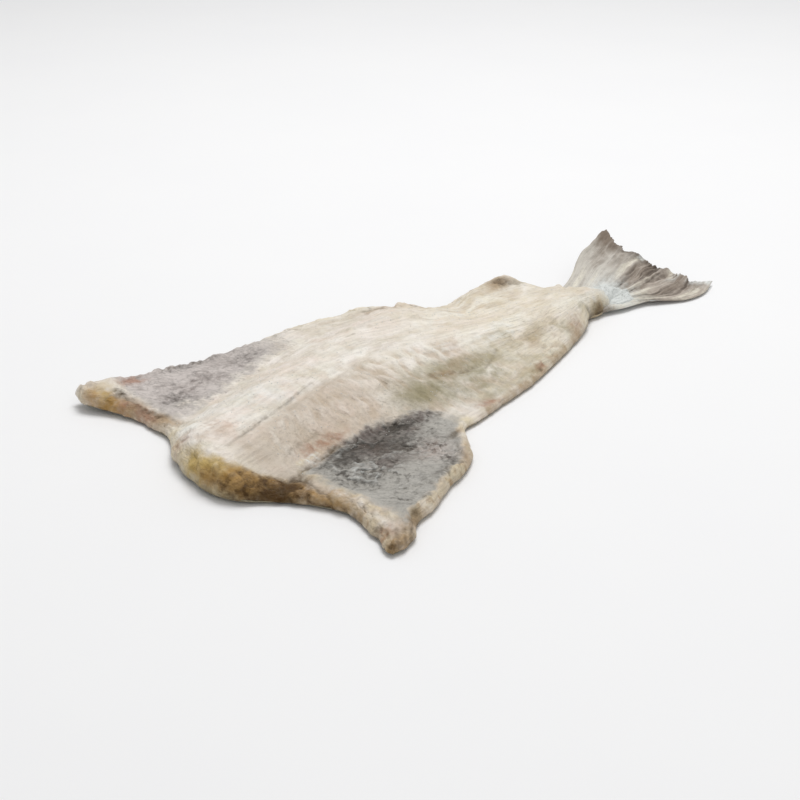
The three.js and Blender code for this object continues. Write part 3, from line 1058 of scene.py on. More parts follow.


# Where the stains and the painted shade and light lie in plan. A row gives a blot's centre, two
# reaches, strength and turn.
BLOTS: dict[Tint, tuple[Blot, ...]] = {
    # Olive: partly the flesh's own olive tone, partly painted shade in the valley right of the
    # backbone ridge (x 140 to 240); the blot at (345, -11) is painted shade in the hollow at the
    # tail's root.
    Tint.OLIVE_AND_SHADE: blots(
        soft=(
            (144, -25, 20, 13, 0.95), (176, -8, 30, 9, 0.45, -8), (190, -14, 34, 10, 0.45, -4),
            (216, -16, 22, 9, 0.55), (182, -38, 32, 14, 0.45), (236, -43, 24, 4, 0.7, 14),
            (194, -51, 28, 5, 0.4, 8), (345, -11, 13, 4, 1),
        ),
        ribbed=(
            (150, -24, 24, 15, 0.5), (184, -15, 30, 11, 0.5, -4), (182, -38, 30, 14, 0.45),
            (214, -32, 28, 11, 0.4),
        ),
        patchy=((288, -18, 17, 7, 0.65, -12), (139, -60, 9, 5, 0.35)),
        streaked=((246, -24, 16, 6, 0.3, -8),),
    ),
    # The tan blot at (346, -13) is painted shade in the hollow at the tail's root.
    Tint.TAN: blots(
        soft=(
            (265, -14, 15, 6, 0.35, -5), (196, -10, 16, 5, 0.35, -4), (301, 55, 13, 7, 1),
            (1, 86, 5, 22, 0.7), (4, 68, 6, 9, 1.1), (0, 95, 5, 6, 0.7),
            (107, -100, 13, 4, 0.7, 40), (9, -142, 13, 6, 0.6, 10), (30, -62, 4, 12, 0.3, 30),
            (346, -13, 11, 4, 0.6), (17, -90, 5, 8, 0.5), (7, 64, 5, 6, 0.6),
        ),
        ribbed=((172, -15, 16, 5, 0.8, -10), (70, -24, 30, 8, 0.35), (53, -30, 13, 5, 0.75, 4)),
        patchy=(
            (237, -44, 16, 3, 0.5, 14), (210, 93, 10, 4, 0.6), (125, -73, 6, 4.5, 0.95, 20),
            (26, -134, 9, 4, 0.6, 25), (34, -130, 12, 4, 0.9, 25), (12, -86, 5, 24, 0.75),
        ),
        streaked=((228, -36, 20, 4, 0.3, 12), (338, 3, 12, 4, 0.3), (131, 103, 14, 8, 0.45, -40)),
        speckled=(
            (-3, 104, 4, 9, 0.5, 12), (3, 78, 6, 18, 0.9), (-7, 100, 5, 10, 0.5, 8),
            (118, -86, 12, 3, 0.8, 55), (134, -68, 4, 6, 0.7), (84, -110, 24, 4, 0.7, 18),
            (52, -122, 22, 4, 0.6, 12),
        ),
    ),
    Tint.ROSY: blots(
        ribbed=((57, -28, 16, 4.5, 0.9, 4), (38, -33, 9, 3, 0.5, 4)),
        patchy=(
            (54, -30, 12, 4, 0.55, 4), (244, -42, 11, 3.2, 0.8, 15), (302, -20, 8, 4, 0.6, 30),
            (18, -122, 6, 8, 0.3), (225, 88, 10, 6, 0.3),
        ),
        soft=(
            (18, 121, 9, 4, 1.2), (-14, 120, 5, 8, 0.35), (172, -57, 8, 3.4, 0.9),
            (-4, 99, 4, 7, 1, 15), (1, 82, 5, 12, 0.8), (-14, 24, 5, 7, 0.3),
            (10, -131, 5, 5, 0.6), (-15, 20, 4, 4, 0.25), (98, -80, 13, 12, 0.14),
            (8, 12, 16, 10, 0.25),
        ),
    ),
    Tint.MAUVE: blots(
        soft=((99, -82, 13, 13, 0.45),),
        patchy=((56, -68, 8, 5, 0.35),),
    ),
    Tint.PLUM: blots(
        soft=(
            (76, -50, 18, 17, 0.85), (68, -74, 11, 8, 0.7), (90, -36, 20, 6, 0.9, -4),
            (106, -50, 9, 7, 0.7), (123, -41, 16, 7, 0.7, -15),
        ),
        patchy=(
            (77, -54, 17, 17, 0.6), (48, -42, 10, 4, 0.6), (30, 84, 15, 14, 0.35),
            (55, 96, 30, 16, 0.35), (86, 100, 24, 14, 0.3), (20, 108, 16, 8, 0.25),
        ),
    ),
    Tint.DARK: blots(
        soft=(
            (58, -43, 13, 8, 0.85), (50, -51, 12, 7, 0.8), (48, -58, 13, 9, 0.5),
            (75, -46, 13, 10, 0.5), (106, -41, 14, 7, 0.95), (138, -47, 4, 2.2, 1),
            (88, -61, 20, 17, 0.75), (48, -76, 17, 11, 0.5), (97, -99, 14, 6, 0.45, 35),
            (84, -104, 16, 6, 0.25, 10), (66, 121, 30, 4, 0.5), (104, 106, 18, 10, 0.35),
            (29, 82, 12, 12, 0.48), (2, 110, 4, 5, 0.8), (302, 54, 8, 4, 0.4),
            (40, -113, 12, 6, 0.15), (12, -124, 5, 5, 0.5), (43, -126, 5, 2.5, 0.5, 20),
        ),
        speckled=(
            (58, -50, 16, 14, 0.9), (44, -63, 13, 11, 0.9), (37, -70, 8, 6, 0.8),
            (100, -46, 16, 10, 0.7), (118, -46, 14, 9, 0.75, -10), (130, -41, 10, 7, 0.8),
            (52, -82, 22, 14, 0.4), (64, -92, 22, 12, 0.3), (102, -86, 13, 11, 0.75),
            (120, -62, 14, 12, 0.3), (42, -110, 11, 7, 0.6), (30, 84, 14, 13, 0.3),
            (60, 98, 34, 16, 0.25), (3, 90, 3, 8, 0.8), (3, 76, 3, 8, 0.7),
        ),
    ),
    # Partly the flesh's whiter patches, partly painted light: the blots along the backbone ridge
    # and stem, at the upper rear and on the neck's lip whiten slopes turned from the lamp.
    Tint.MILKY_AND_PAINTED_LIGHT: blots(
        soft=(
            (261, 3, 26, 8, 1, -3), (318, -4, 30, 7, 1), (345, -2, 18, 6, 1),
            (240, -2, 18, 6, 0.6, -6), (-3, 28, 10, 14, 1),
        ),
        streaked=((271, 44, 46, 14, 0.9), (215, 12, 26, 7, 0.6, -6), (225, 45, 50, 18, 0.3)),
        ribbed=((115, -14, 16, 9, 0.5),),
    ),
    Tint.BLUSH: blots(
        streaked=((95, 58, 34, 12, 0.45), (190, 70, 40, 20, 0.5), (235, 25, 40, 10, 0.4)),
        patchy=((14, 4, 20, 16, 0.5),),
        ribbed=((130, 4, 24, 14, 0.4), (88, -10, 30, 16, 0.4)),
    ),
    Tint.GLASSY: blots(
        soft=((-2, 120, 8, 8, 0.2), (-7, 112, 4, 8, 0.7), (-13, 121, 6, 8, 0.3)),
    ),
    # The amber blot at (346, -10) is painted shade in the hollow at the tail's root.
    Tint.AMBER: blots(
        soft=(
            (-11, 108, 6, 10, 0.8, 8), (-4, 98, 5, 12, 0.35), (-13, 118, 7, 10, 0.35),
            (8, -143, 12, 5, 0.6), (346, -10, 9, 4, 0.5),
        ),
    ),
    Tint.CHAR: blots(
        soft=((4, -143, 8, 5, 0.4), (3, -62, 6, 11, 0.5), (16, -51, 6, 5, 0.8)),
    ),
    # Painted shade in the hollow at the tail's root.
    Tint.CREASE: blots(
        soft=((342, -11, 9, 4, 0.9),),
    ),
    Tint.SALT_AND_HIGHLIGHT: blots(
        soft=(
            (372, -2, 16, 13, 1), (370, -4, 9, 20, 1), (374, 14, 13, 10, 0.8),
            (364, 16, 10, 13, 0.9), (54, 30, 26, 16, 0.3),
        ),
        streaked=((240, -1, 18, 6, 0.5, -8), (196, 8, 14, 5, 0.3)),
        speckled=((37, -38, 9, 4, 0.9, 6),),
    ),
}


# On the neck's cut face a blot's centre is its place across the fish and its height. The olive
# blots and the lowest char blots are partly the face's own colour, partly painted shade towards its
# foot.
CUT_BLOTS: dict[Tint, tuple[Blot, ...]] = {
    Tint.ROSY: blots(
        soft=((20, 12, 5, 5, 0.5),),
    ),
    Tint.OLIVE_AND_SHADE: blots(
        soft=((-34, 6, 17, 5.5, 1), (-15, 5, 14, 4, 0.7), (-60, 3, 12, 3, 0.6)),
    ),
    Tint.GLASSY: blots(
        soft=((-5, 12, 14, 7, 1), (-17, 17, 14, 5, 1)),
        patchy=((-30, 16, 14, 4, 0.6),),
    ),
    Tint.AMBER: blots(
        soft=(
            (-20, 11, 7, 5, 0.9), (-36, 13.5, 15, 5, 0.95), (-45, 11, 14, 6.5, 1),
            (-60, 7, 20, 7, 0.9), (-90, 6, 30, 5, 0.3),
        ),
        patchy=((-8, 12, 6, 4, 0.4),),
        speckled=((50, 8, 16, 5, 0.4),),
    ),
    Tint.CHAR: blots(
        soft=(
            (-51, 7, 13, 7, 0.5), (-35, 8, 12, 6, 0.42), (-48, 6, 5, 5, 0.4),
            (-58, 4, 9, 5, 0.8), (-88, 2.5, 24, 2.5, 0.5),
        ),
        speckled=((-42, 10, 14, 7, 0.8), (-10, 15, 16, 4, 0.35)),
        patchy=((-54, 7, 11, 8, 0.75), (-66, 5, 7, 6, 0.4)),
    ),
}


@dataclass(frozen=True)
class Stains:
    """Where the flesh side is dusky, olive, lined, browned, rosy or salted, and where shade and
    light are painted on it.
    """

    form: Form
    grain: Grainwork
    right_inner: Line = (
        (14, -49), (22, -46), (41, -42), (56, -38), (70, -35), (84, -31), (100, -31), (112, -35),
        (126, -33), (136, -40), (144, -52), (150, -62),
    )
    left_inner: Line = ((6, 66), (21, 68), (39, 71), (81, 85), (116, 98), (148, 106), (175, 114))
    cut_reach: Line = (
        (-144, 6), (-110, 8), (-90, 11), (-75, 14), (-60, 19), (-52, 33), (-42, 26), (-30, 23),
        (-20, 15), (0, 12), (20, 8), (45, 4), (60, 4),
    )

    def overlaid(self, blots: tuple[Blot, ...], x: Array, y: Array) -> Array:
        """Blots together, each gated by its lay: 1 minus the product of what each leaves clear.

        Args:
            blots: the blots.
            x: plan places.
            y: plan places.

        Returns:
            0 to 1 at each place.
        """
        gates = {lay: self.grain.gate(lay, x, y) for lay in {blot.lay for blot in blots}}
        clear = np.ones(np.shape(x))
        for blot in blots:
            clear = clear * (1.0 - np.clip(blot.mask(x, y) * gates[blot.lay], 0, 1))
        return 1.0 - clear

    def spots(self, tint: Tint, x: Array, y: Array) -> Array:
        """A tint's blots in plan."""
        return self.overlaid(BLOTS.get(tint, ()), x, y)

    def cut(self, x: Array, y: Array) -> Array:
        """1 on the neck's cut, falling to 0 over a line that noise shifts.

        Args:
            x: plan places.
            y: plan places.

        Returns:
            0 to 1 at each place.
        """
        behind = self.form.plan.behind_neck(x, y) + 3.0 * Noise(33).fractal(8, x, y)
        reach = through(self.cut_reach, y)
        return fading(behind, 0.5 * reach, 1.15 * reach)

    def paint_cut(self, values: Values, x: Array, y: Array, z: Array) -> None:
        """Lays the cut face's blots over the tints.

        Args:
            values: tints by name.
            x: plan places.
            y: plan places.
            z: heights.
        """
        cut = self.cut(x, y)
        for tint, blots in CUT_BLOTS.items():
            face = cut * self.overlaid(blots, y, z)
            values[tint.value] = np.maximum(values[tint.value], face)

    def linings(self, x: Array, y: Array, inset: Array) -> tuple[Array, Array]:
        """How far a place is into the right flap's grey lining and the left flap's paler one.

        Args:
            x: plan places.
            y: plan places.
            inset: distance to the outline.

        Returns:
            Right and left, 0 to 1.
        """
        warp = 3.2 * Noise(31).fractal(13, x, y) + 1.7 * Noise(32).fractal(4, x, y, octaves=2)
        past_right = through(self.right_inner, x) - y + warp
        past_left = y - through(self.left_inner, x) + 2.6 * warp
        right = smoothstep(past_right, -3.5, 5.0) * smoothstep(x + warp, 20, 32)
        right = right * fading(x + warp, 132, 146) * smoothstep(inset + 0.9 * warp, 2.5, 8)
        left = smoothstep(past_left, -11, 11) * smoothstep(x + 0.5 * warp, 6, 15)
        left = left * smoothstep(inset, 0.5, 4) * fading(x + 2 * warp, 104, 160)
        return right, left

    def paint(self, x: Array, y: Array, inset: Array) -> Values:
        """Every tint's value at plan places.

        Args:
            x: plan places.
            y: plan places.
            inset: distance to the outline.

        Returns:
            One array for each tint, under the tint's name.
        """
        plan = self.form.plan
        centre = plan.from_centre(x, y)
        cut = self.cut(x, y)
        lined_right, lined_left = self.linings(x, y, inset)
        lining = np.maximum(lined_right, lined_left)
        # The right loin is dusky: partly its own duller tone, partly painted shade on the side
        # turned from the light.
        right = smoothstep(-centre + 2.0 * Noise(34).fractal(12, x, y), -5, 2)
        dusk = right * fading(x, 105, 165) * smoothstep(x, -12, 12) * (1.0 - cut)
        dusk = dusk * lerp(0.75, 1.0, self.grain.gate(Lay.RIBBED, x, y))
        on_flap = self.form.on_flap(x, y)
        faint = smoothstep(x, 20, 60) * smoothstep(y, 20, 50)
        faint = faint + smoothstep(x, 130, 170) * smoothstep(-centre, 10, 30)
        faint = np.clip(faint + smoothstep(y, 40, 60), 0, 1)
        uneven = 0.75 + 0.7 * Noise(35).fractal(9, x, y)
        rim = fading(inset + 2.0 * Noise(35).fractal(6, x, y), 2.0, lerp(9.0, 6.5, on_flap))
        rim = rim * (1.0 - 0.65 * faint) * uneven
        crease = self.grain.strokes(self.grain.creases, x, y)[0]
        ridge = self.grain.strokes(self.grain.ridges, x, y)[0]
        patches = smoothstep(Noise(36).fractal(24, x, y), 0.05, 0.6)
        flushed = smoothstep(Noise(38).fractal(22, x, y), 0.1, 0.6)
        flesh = (1.0 - lining) * (1.0 - cut)
        ribs = self.grain.ribs(x, y)
        ribbed = self.grain.directions(x, y, y)["ribbed"]
        crests, troughs = ribbed * smoothstep(ribs, 0.1, 0.6), ribbed * smoothstep(-ribs, 0.1, 0.6)
        flap_rim = rim * on_flap * (y < 0)
        rear = between(x, 190, 330, 30) * smoothstep(-centre, 4, 14)
        rear_rim = fading(inset, 1, 6) * (y < 0) * between(x, 168, 300, 20)
        patchy = self.grain.gate(Lay.PATCHY, x, y)
        rear_rim = rear_rim * lerp(0.35, 0.7, patchy)
        mossy = rear * smoothstep(Noise(29).fractal(13, 0.6 * x, y), 0.0, 0.6)
        browned = rear * smoothstep(Noise(28).fractal(11, 0.6 * x, y), 0.1, 0.6)
        mottled = 0.8 * rim * on_flap * self.grain.gate(Lay.SPECKLED, x, y)
        # Painted shade in the troughs of the broad folds at the rear.
        folds = 0.3 * smoothstep(-self.grain.bands(x, y), 0.0, 0.7) * between(x, 200, 290, 40)
        own = {
            Tint.DUSK_AND_SHADE: np.maximum(dusk, 0.9 * flap_rim),
            Tint.LINING: lining,
            Tint.MAUVE: lined_left,
            Tint.OLIVE_AND_SHADE: np.maximum(0.45 * mossy, 0.35 * flap_rim * patchy),
            # Cream rims and rear are the tissue's own; along the raised ridges the cream is partly
            # painted highlight.
            Tint.CREAM_AND_HIGHLIGHT: np.maximum(
                np.maximum(rim - 0.4 * flap_rim, 0.7 * ridge), 0.35 * smoothstep(x, 180, 260)
            ),
            Tint.TAN: np.maximum.reduce([mottled, 0.25 * browned, rear_rim]),
            # Whiter patches of the flesh, and painted highlight on the rib crests.
            Tint.MILKY_AND_PAINTED_LIGHT: flesh * np.maximum(0.5 * patches * (1.0 - 0.5 * dusk), 0.22 * crests),
            Tint.BLUSH: flesh * np.maximum(0.35 * flushed, 0.25 * troughs),
            # Partly brown creases and cracks, partly painted shade in them.
            Tint.CREASE: np.maximum(crease, 0.55 * self.grain.cracks(x, y, inset)),
            # Painted shade: darker where the grain's relief is low, and in the rear folds' troughs.
            Tint.PAINTED_PIT_SHADE: flesh * np.clip(0.3 - 1.1 * self.grain.fine(x, y, inset) + folds, 0, 1),
        }
        off_flaps = 0.8 * (x < 12) + (x > 300)
        only_lined = {Tint.PLUM: lining, Tint.DARK: np.clip(lining + off_flaps, 0, 1)}
        values = {}
        for tint in Tint:
            spots = self.spots(tint, x, y) * only_lined.get(tint, 1.0)
            values[tint.value] = np.clip(np.maximum(own.get(tint, 0.0), spots), 0, 1)
        values[Tint.PAINTED_PIT_SHADE.value] *= 1.0 - 0.7 * values[Tint.MILKY_AND_PAINTED_LIGHT.value]
        return values


# ---------------------------------------------------------------------------------------------
# Finishes
# ---------------------------------------------------------------------------------------------


def linear(colour: Colour) -> tuple[float, float, float, float]:
    """A display colour of 0 to 255 as linear light with full alpha."""
    values = [((c / 255 + 0.055) / 1.055) ** 2.4 if c > 10 else c / 255 / 12.92 for c in colour]
    return (values[0], values[1], values[2], 1.0)


@dataclass
class Weave:
    """Adds and joins the nodes of one shader tree."""

    tree: Tree

    def add(self, kind: str, feeds: dict[Any, Any] | None = None, **settings: Any) -> Node:
        """Adds a node, sets its properties, and joins or sets its inputs.

        Args:
            kind: the node's type name.
            feeds: for an input's name or number, the socket that feeds it or its value.
            settings: the node's own properties.

        Returns:
            The node.
        """
        node = self.tree.nodes.new(kind)
        for name, value in settings.items():
            setattr(node, name, value)
        for key, value in (feeds or {}).items():
            if isinstance(value, Socket):
                self.tree.links.new(value, node.inputs[key])
            else:
                node.inputs[key].default_value = value
        return node

    def use(self, tree: Tree, feeds: dict[str, Any]) -> Node:
        """A node that holds a group, with its named inputs fed."""
        return self.add("ShaderNodeGroup", feeds, node_tree=tree)

    def surface(self, feeds: dict[str, Any]) -> None:
        """Adds the principled shader, with its named inputs fed, and the material's output."""
        shader = self.add("ShaderNodeBsdfPrincipled", feeds)
        self.add("ShaderNodeOutputMaterial", {"Surface": shader.outputs[0]})

    def blend(self, share: Any, first: Any, second: Any, kind: str = "MIX") -> Socket:
        """A colour mixed from two by a share."""
        feeds = {0: share, 6: first, 7: second}
        return self.add("ShaderNodeMix", feeds, data_type="RGBA", blend_type=kind).outputs[2]

    def maths(self, kind: str, first: Any, second: Any = 0.0, clamp: bool = False) -> Socket:
        """The result of one sum of two values."""
        feeds = {0: first, 1: second}
        return self.add("ShaderNodeMath", feeds, operation=kind, use_clamp=clamp).outputs[0]

    def remap(self, value: Any, low: Any, high: Any, start: Any = 0.0, end: Any = 1.0) -> Socket:
        """A value carried from low..high to start..end by a smooth step."""
        feeds = {"Value": value, "From Min": low, "From Max": high, "To Min": start, "To Max": end}
        return self.add("ShaderNodeMapRange", feeds, interpolation_type="SMOOTHSTEP").outputs[0]

    def kept(self, name: str) -> Node:
        """A vertex attribute."""
        return self.add("ShaderNodeAttribute", attribute_name=name, attribute_type="GEOMETRY")

    def noise(self, vector: Any, scale: Any, detail: float = 3.0, rough: float = 0.55) -> Socket:
        """Fractal noise around 0.5."""
        feeds = {"Vector": vector, "Scale": scale, "Detail": detail, "Roughness": rough}
        return self.add("ShaderNodeTexNoise", feeds).outputs[0]

    def place(self) -> Socket:
        """Object coordinates, in metres."""
        return self.add("ShaderNodeTexCoord").outputs["Object"]


def bare_material(name: str) -> tuple[bpy.types.Material, Weave]:
    """A new material whose shader tree is empty, and the weave that fills it.

    Args:
        name: its name.

    Returns:
        The material and its weave.
    """
    made = bpy.data.materials.new(name)
    made.use_nodes = True
    made.node_tree.nodes.clear()
    return made, Weave(made.node_tree)


def group(name: str, takes: dict[str, Any], gives: dict[str, str], fill: Callable) -> Tree:
    """A node group with named inputs and outputs, made once.

    Args:
        name: the group's name.
        takes: each input's name with its starting value, a number or a colour.
        gives: each output's name with its socket type.
        fill: fills the group from its weave and inputs, and returns the output sockets by name.

    Returns:
        The group.
    """
    made = bpy.data.node_groups.get(name)
    if made:
        return made
    made = bpy.data.node_groups.new(name, "ShaderNodeTree")
    for key, value in takes.items():
        size = len(value) if isinstance(value, tuple) else 1
        kind = {1: "NodeSocketFloat", 3: "NodeSocketVector", 4: "NodeSocketColor"}[size]
        made.interface.new_socket(name=key, in_out="INPUT", socket_type=kind).default_value = value
    for key, kind in gives.items():
        made.interface.new_socket(name=key, in_out="OUTPUT", socket_type=kind)
    weave = Weave(made)
    ends = fill(weave, weave.add("NodeGroupInput").outputs)
    weave.add("NodeGroupOutput", ends)
    return made


def stain_group() -> Tree:
    """Lays a tint over a colour where its mask, frayed by noise, is high.

    Returns:
        The group.
    """

    def fill(weave: Weave, given: Any) -> dict[str, Socket]:
        """mask + (noise - 0.5) x fray x 4 mask (1 - mask), clamped, times the strength.

        Args:
            weave: the group's weave.
            given: the group's inputs.

        Returns:
            The group's outputs by name.
        """
        noise = weave.noise(weave.place(), given["Fineness"], 4.0, 0.62)
        swing = weave.maths("MULTIPLY", weave.maths("SUBTRACT", noise, 0.5), given["Fray"])
        left = weave.maths("SUBTRACT", 1.0, given["Mask"])
        room = weave.maths("MULTIPLY", weave.maths("MULTIPLY", given["Mask"], left), 4.0)
        share = weave.maths("ADD", given["Mask"], weave.maths("MULTIPLY", swing, room), clamp=True)
        share = weave.maths("MULTIPLY", share, given["Strength"], clamp=True)
        return {"Colour": weave.blend(share, given["Ground"], given["Tint"])}

    grey = (0.5, 0.5, 0.5, 1.0)
    takes = {"Ground": grey, "Tint": grey, "Mask": 0.0, "Strength": 1.0}
    takes.update({"Fray": 1.2, "Fineness": 120.0})
    return group("stain_and_painted_light", takes, {"Colour": "NodeSocketColor"}, fill)


def streak_group() -> Tree:
    """Streaks along the first axis of a flow vector in millimetres, for colour and bump.

    Returns:
        The group.
    """

    def fill(weave: Weave, given: Any) -> dict[str, Socket]:
        """Noise on flow coordinates divided by the streak's length and width.

        Args:
            weave: the group's weave.
            given: the group's inputs.

        Returns:
            The group's outputs by name.
        """
        feeds = {0: given["Length"], 1: given["Width"], 2: 1.0}
        size = weave.add("ShaderNodeCombineXYZ", feeds).outputs[0]
        feeds = {0: given["Flow"], 1: size}
        squeezed = weave.add("ShaderNodeVectorMath", feeds, operation="DIVIDE").outputs[0]
        return {"Streak": weave.noise(squeezed, 1.0, 2.5, 0.5)}

    takes = {"Flow": (0.0, 0.0, 0.0), "Length": 22.0, "Width": 1.6}
    return group("streak", takes, {"Streak": "NodeSocketFloat"}, fill)


def mottle_group() -> Tree:
    """Cloudy blotches and fine specks, for colour.

    Returns:
        The group.
    """

    def fill(weave: Weave, given: Any) -> dict[str, Socket]:
        """A broad noise for the clouds, and a fine one cut to specks above a threshold.

        Args:
            weave: the group's weave.
            given: the group's inputs.

        Returns:
            The group's outputs by name.
        """
        place = weave.place()
        broad = weave.noise(place, given["Cloud"], 3.0, 0.6)
        fine = weave.noise(place, given["Speck"], 2.0, 0.7)
        return {"Clouds": weave.remap(broad, 0.3, 0.7), "Specks": weave.remap(fine, 0.54, 0.68)}

    gives = {"Clouds": "NodeSocketFloat", "Specks": "NodeSocketFloat"}
    return group("mottle", {"Cloud": 60.0, "Speck": 420.0}, gives, fill)


@dataclass(frozen=True)
class Wash:
    """One tint of a finish: its mask, its colour and how it lies."""

    tint: Tint
    colour: Colour
    strength: float = 1.0
    fray: float = 1.2
    fineness: float = 120.0


@dataclass(frozen=True)
class TissueFinish:
    """Matt salted tissue: a mottled ground, stains and painted shade and light over it in order,
    painted shade in its low streaks, and a fine bump.
    """

    name: str
    ground: Colour
    cloud: Colour
    washes: tuple[Wash, ...]
    streak_length: float = 22.0
    streak_width: float = 1.6
    painted_streak_shade: float = 0.1
    speck: Colour = (120, 108, 96)
    speck_share: float = 0.12
    roughness: float = 0.6
    bump_height: float = 0.6
    specular: float = 0.35
    bump_strength: float = 0.9
    grain_scale: float = 900.0
    grain_share: float = 0.6

    def material(self) -> bpy.types.Material:
        """Builds the material.

        Returns:
            Principled tissue whose colour is the washed ground, with painted shade in its low
            streaks.
        """
        made, weave = bare_material(self.name)
        mottle = weave.use(mottle_group(), {})
        sizes = {"Length": self.streak_length, "Width": self.streak_width}
        along = weave.use(streak_group(), {"Flow": weave.kept("fibre").outputs["Vector"], **sizes})
        across = weave.use(streak_group(), {"Flow": weave.kept("rib").outputs["Vector"], **sizes})
        ribbed = weave.kept("ribbed").outputs["Fac"]
        feeds = {0: ribbed, 2: along.outputs[0], 3: across.outputs[0]}
        streak = weave.add("ShaderNodeMix", feeds).outputs[0]
        colour = weave.blend(mottle.outputs["Clouds"], linear(self.ground), linear(self.cloud))
        for wash in self.washes:
            feeds = {
                "Ground": colour,
                "Tint": linear(wash.colour),
                "Mask": weave.kept(wash.tint.value).outputs["Fac"],
                "Strength": wash.strength,
                "Fray": wash.fray,
                "Fineness": wash.fineness,
            }
            colour = weave.use(stain_group(), feeds).outputs["Colour"]
        specks = weave.maths("MULTIPLY", mottle.outputs["Specks"], self.speck_share)
        colour = weave.blend(specks, colour, linear(self.speck))
        # Painted shade: the colour is darkened where the streak noise, which also drives the bump,
        # is low.
        shade = weave.remap(streak, 0.3, 0.62, 1.0 - self.painted_streak_shade, 1.0)
        grey = weave.add("ShaderNodeCombineColor", {0: shade, 1: shade, 2: shade}).outputs[0]
        colour = weave.blend(1.0, colour, grey, "MULTIPLY")
        grains = weave.noise(weave.place(), self.grain_scale, 2.0, 0.6)
        height = weave.maths("ADD", streak, weave.maths("MULTIPLY", grains, self.grain_share))
        depth = self.bump_height * MILLIMETRE
        bump = weave.add(
            "ShaderNodeBump", {"Height": height, "Distance": depth, "Strength": self.bump_strength}
        )
        weave.surface({
            "Base Color": colour,
            "Roughness": weave.remap(grains, 0.3, 0.7, self.roughness - 0.08, self.roughness + 0.1),
            "Normal": bump.outputs[0],
            "Specular IOR Level": self.specular,
        })
        return made


# Washes in the order they are laid: stains of the tissue, some of them partly or wholly painted
# shade and light.
STAINS_AND_PAINTED_LIGHT = (
    # Partly the right loin's duller tone, partly painted shade.
    Wash(Tint.DUSK_AND_SHADE, (196, 183, 167), 0.9, 0.8, 60),
    Wash(Tint.BLUSH, (230, 204, 188), 0.7, 1.2, 90),
    # Whiter patches, and painted light on ridges, rib crests and slopes turned from the lamp.
    Wash(Tint.MILKY_AND_PAINTED_LIGHT, (248, 246, 238), 0.8, 1.2, 90),
    # Painted shade in the hollows of the grain, the folds and the neck's crumbs.
    Wash(Tint.PAINTED_PIT_SHADE, (188, 170, 148), 0.6, 0.6, 160),
    # Olive tone, and painted shade in the valley, at the foot of the neck's cut and in the root's
    # hollow.
    Wash(Tint.OLIVE_AND_SHADE, (146, 137, 106), 0.95, 1.2, 150),
    # Cream rims and rear, and painted highlight along the ridges.
    Wash(Tint.CREAM_AND_HIGHLIGHT, (224, 210, 178), 0.75, 1.4, 140),
    Wash(Tint.TAN, (164, 138, 106), 0.85, 1.3, 170),
    Wash(Tint.LINING, (174, 171, 164), 0.95, 1.8, 230),
    Wash(Tint.MAUVE, (206, 197, 192), 0.9, 1.2, 260),
    Wash(Tint.PLUM, (104, 90, 84), 0.95, 2.0, 240),
    # Dark peritoneum, and painted shade in the troughs of the lining's wrinkles.
    Wash(Tint.DARK, (58, 52, 44), 0.95, 2.2, 300),
    Wash(Tint.ROSY, (162, 120, 98), 0.8, 2.0, 240),
    Wash(Tint.GLASSY, (196, 168, 98), 0.95, 1.6, 160),
    Wash(Tint.AMBER, (166, 128, 68), 0.95, 1.8, 140),
    Wash(Tint.CHAR, (74, 50, 16), 1.0, 2.6, 200),
    # Painted shade: dark brown on the lowest part of each edge and of the neck's cut, where the
    # fish meets the floor.
    Wash(Tint.PAINTED_UNDER_SHADE, (72, 56, 32), 0.9, 1.2, 120),
    # Partly the brown of creases and cracks, partly painted shade in them.
    Wash(Tint.CREASE, (84, 68, 44), 0.9, 1.2, 260),
    # Salt white, and painted highlight on the crests of the lining's wrinkles.
    Wash(Tint.SALT_AND_HIGHLIGHT, (230, 233, 230), 0.9, 1.8, 330),
)


def flesh_finish() -> TissueFinish:
    """Ivory flesh with cream clouds.

    Returns:
        The finish.
    """
    return TissueFinish(
        "salted flesh", (240, 233, 225), (226, 219, 204), STAINS_AND_PAINTED_LIGHT,
        streak_width=2.6, painted_streak_shade=0.12, bump_height=0.9, specular=0.2,
    )


def lining_finish() -> TissueFinish:
    """The same tissue under its thin dark lining, with finer streaks and more specks.

    Returns:
        The finish.
    """
    return TissueFinish(
        "belly lining", (236, 229, 219), (226, 217, 203), STAINS_AND_PAINTED_LIGHT,
        streak_length=7.0, streak_width=1.5, painted_streak_shade=0.2,
        speck=(96, 88, 84), speck_share=0.32, bump_height=0.5,
    )


def skin_finish() -> TissueFinish:
    """Olive grey skin, paler at its cut rim, with fine scales.

    Returns:
        The finish.
    """
    washes = (
        Wash(Tint.CREAM_AND_HIGHLIGHT, (196, 178, 146), 0.85, 1.4, 120),
        Wash(Tint.SALT_AND_HIGHLIGHT, (226, 228, 224), 0.7, 2.0, 300),
    )
    return TissueFinish(
        "cod skin", (118, 112, 92), (150, 142, 118), washes,
        streak_length=5.0, streak_width=1.2, painted_streak_shade=0.25,
        speck=(70, 64, 50), speck_share=0.5, roughness=0.5, bump_height=0.4,
    )


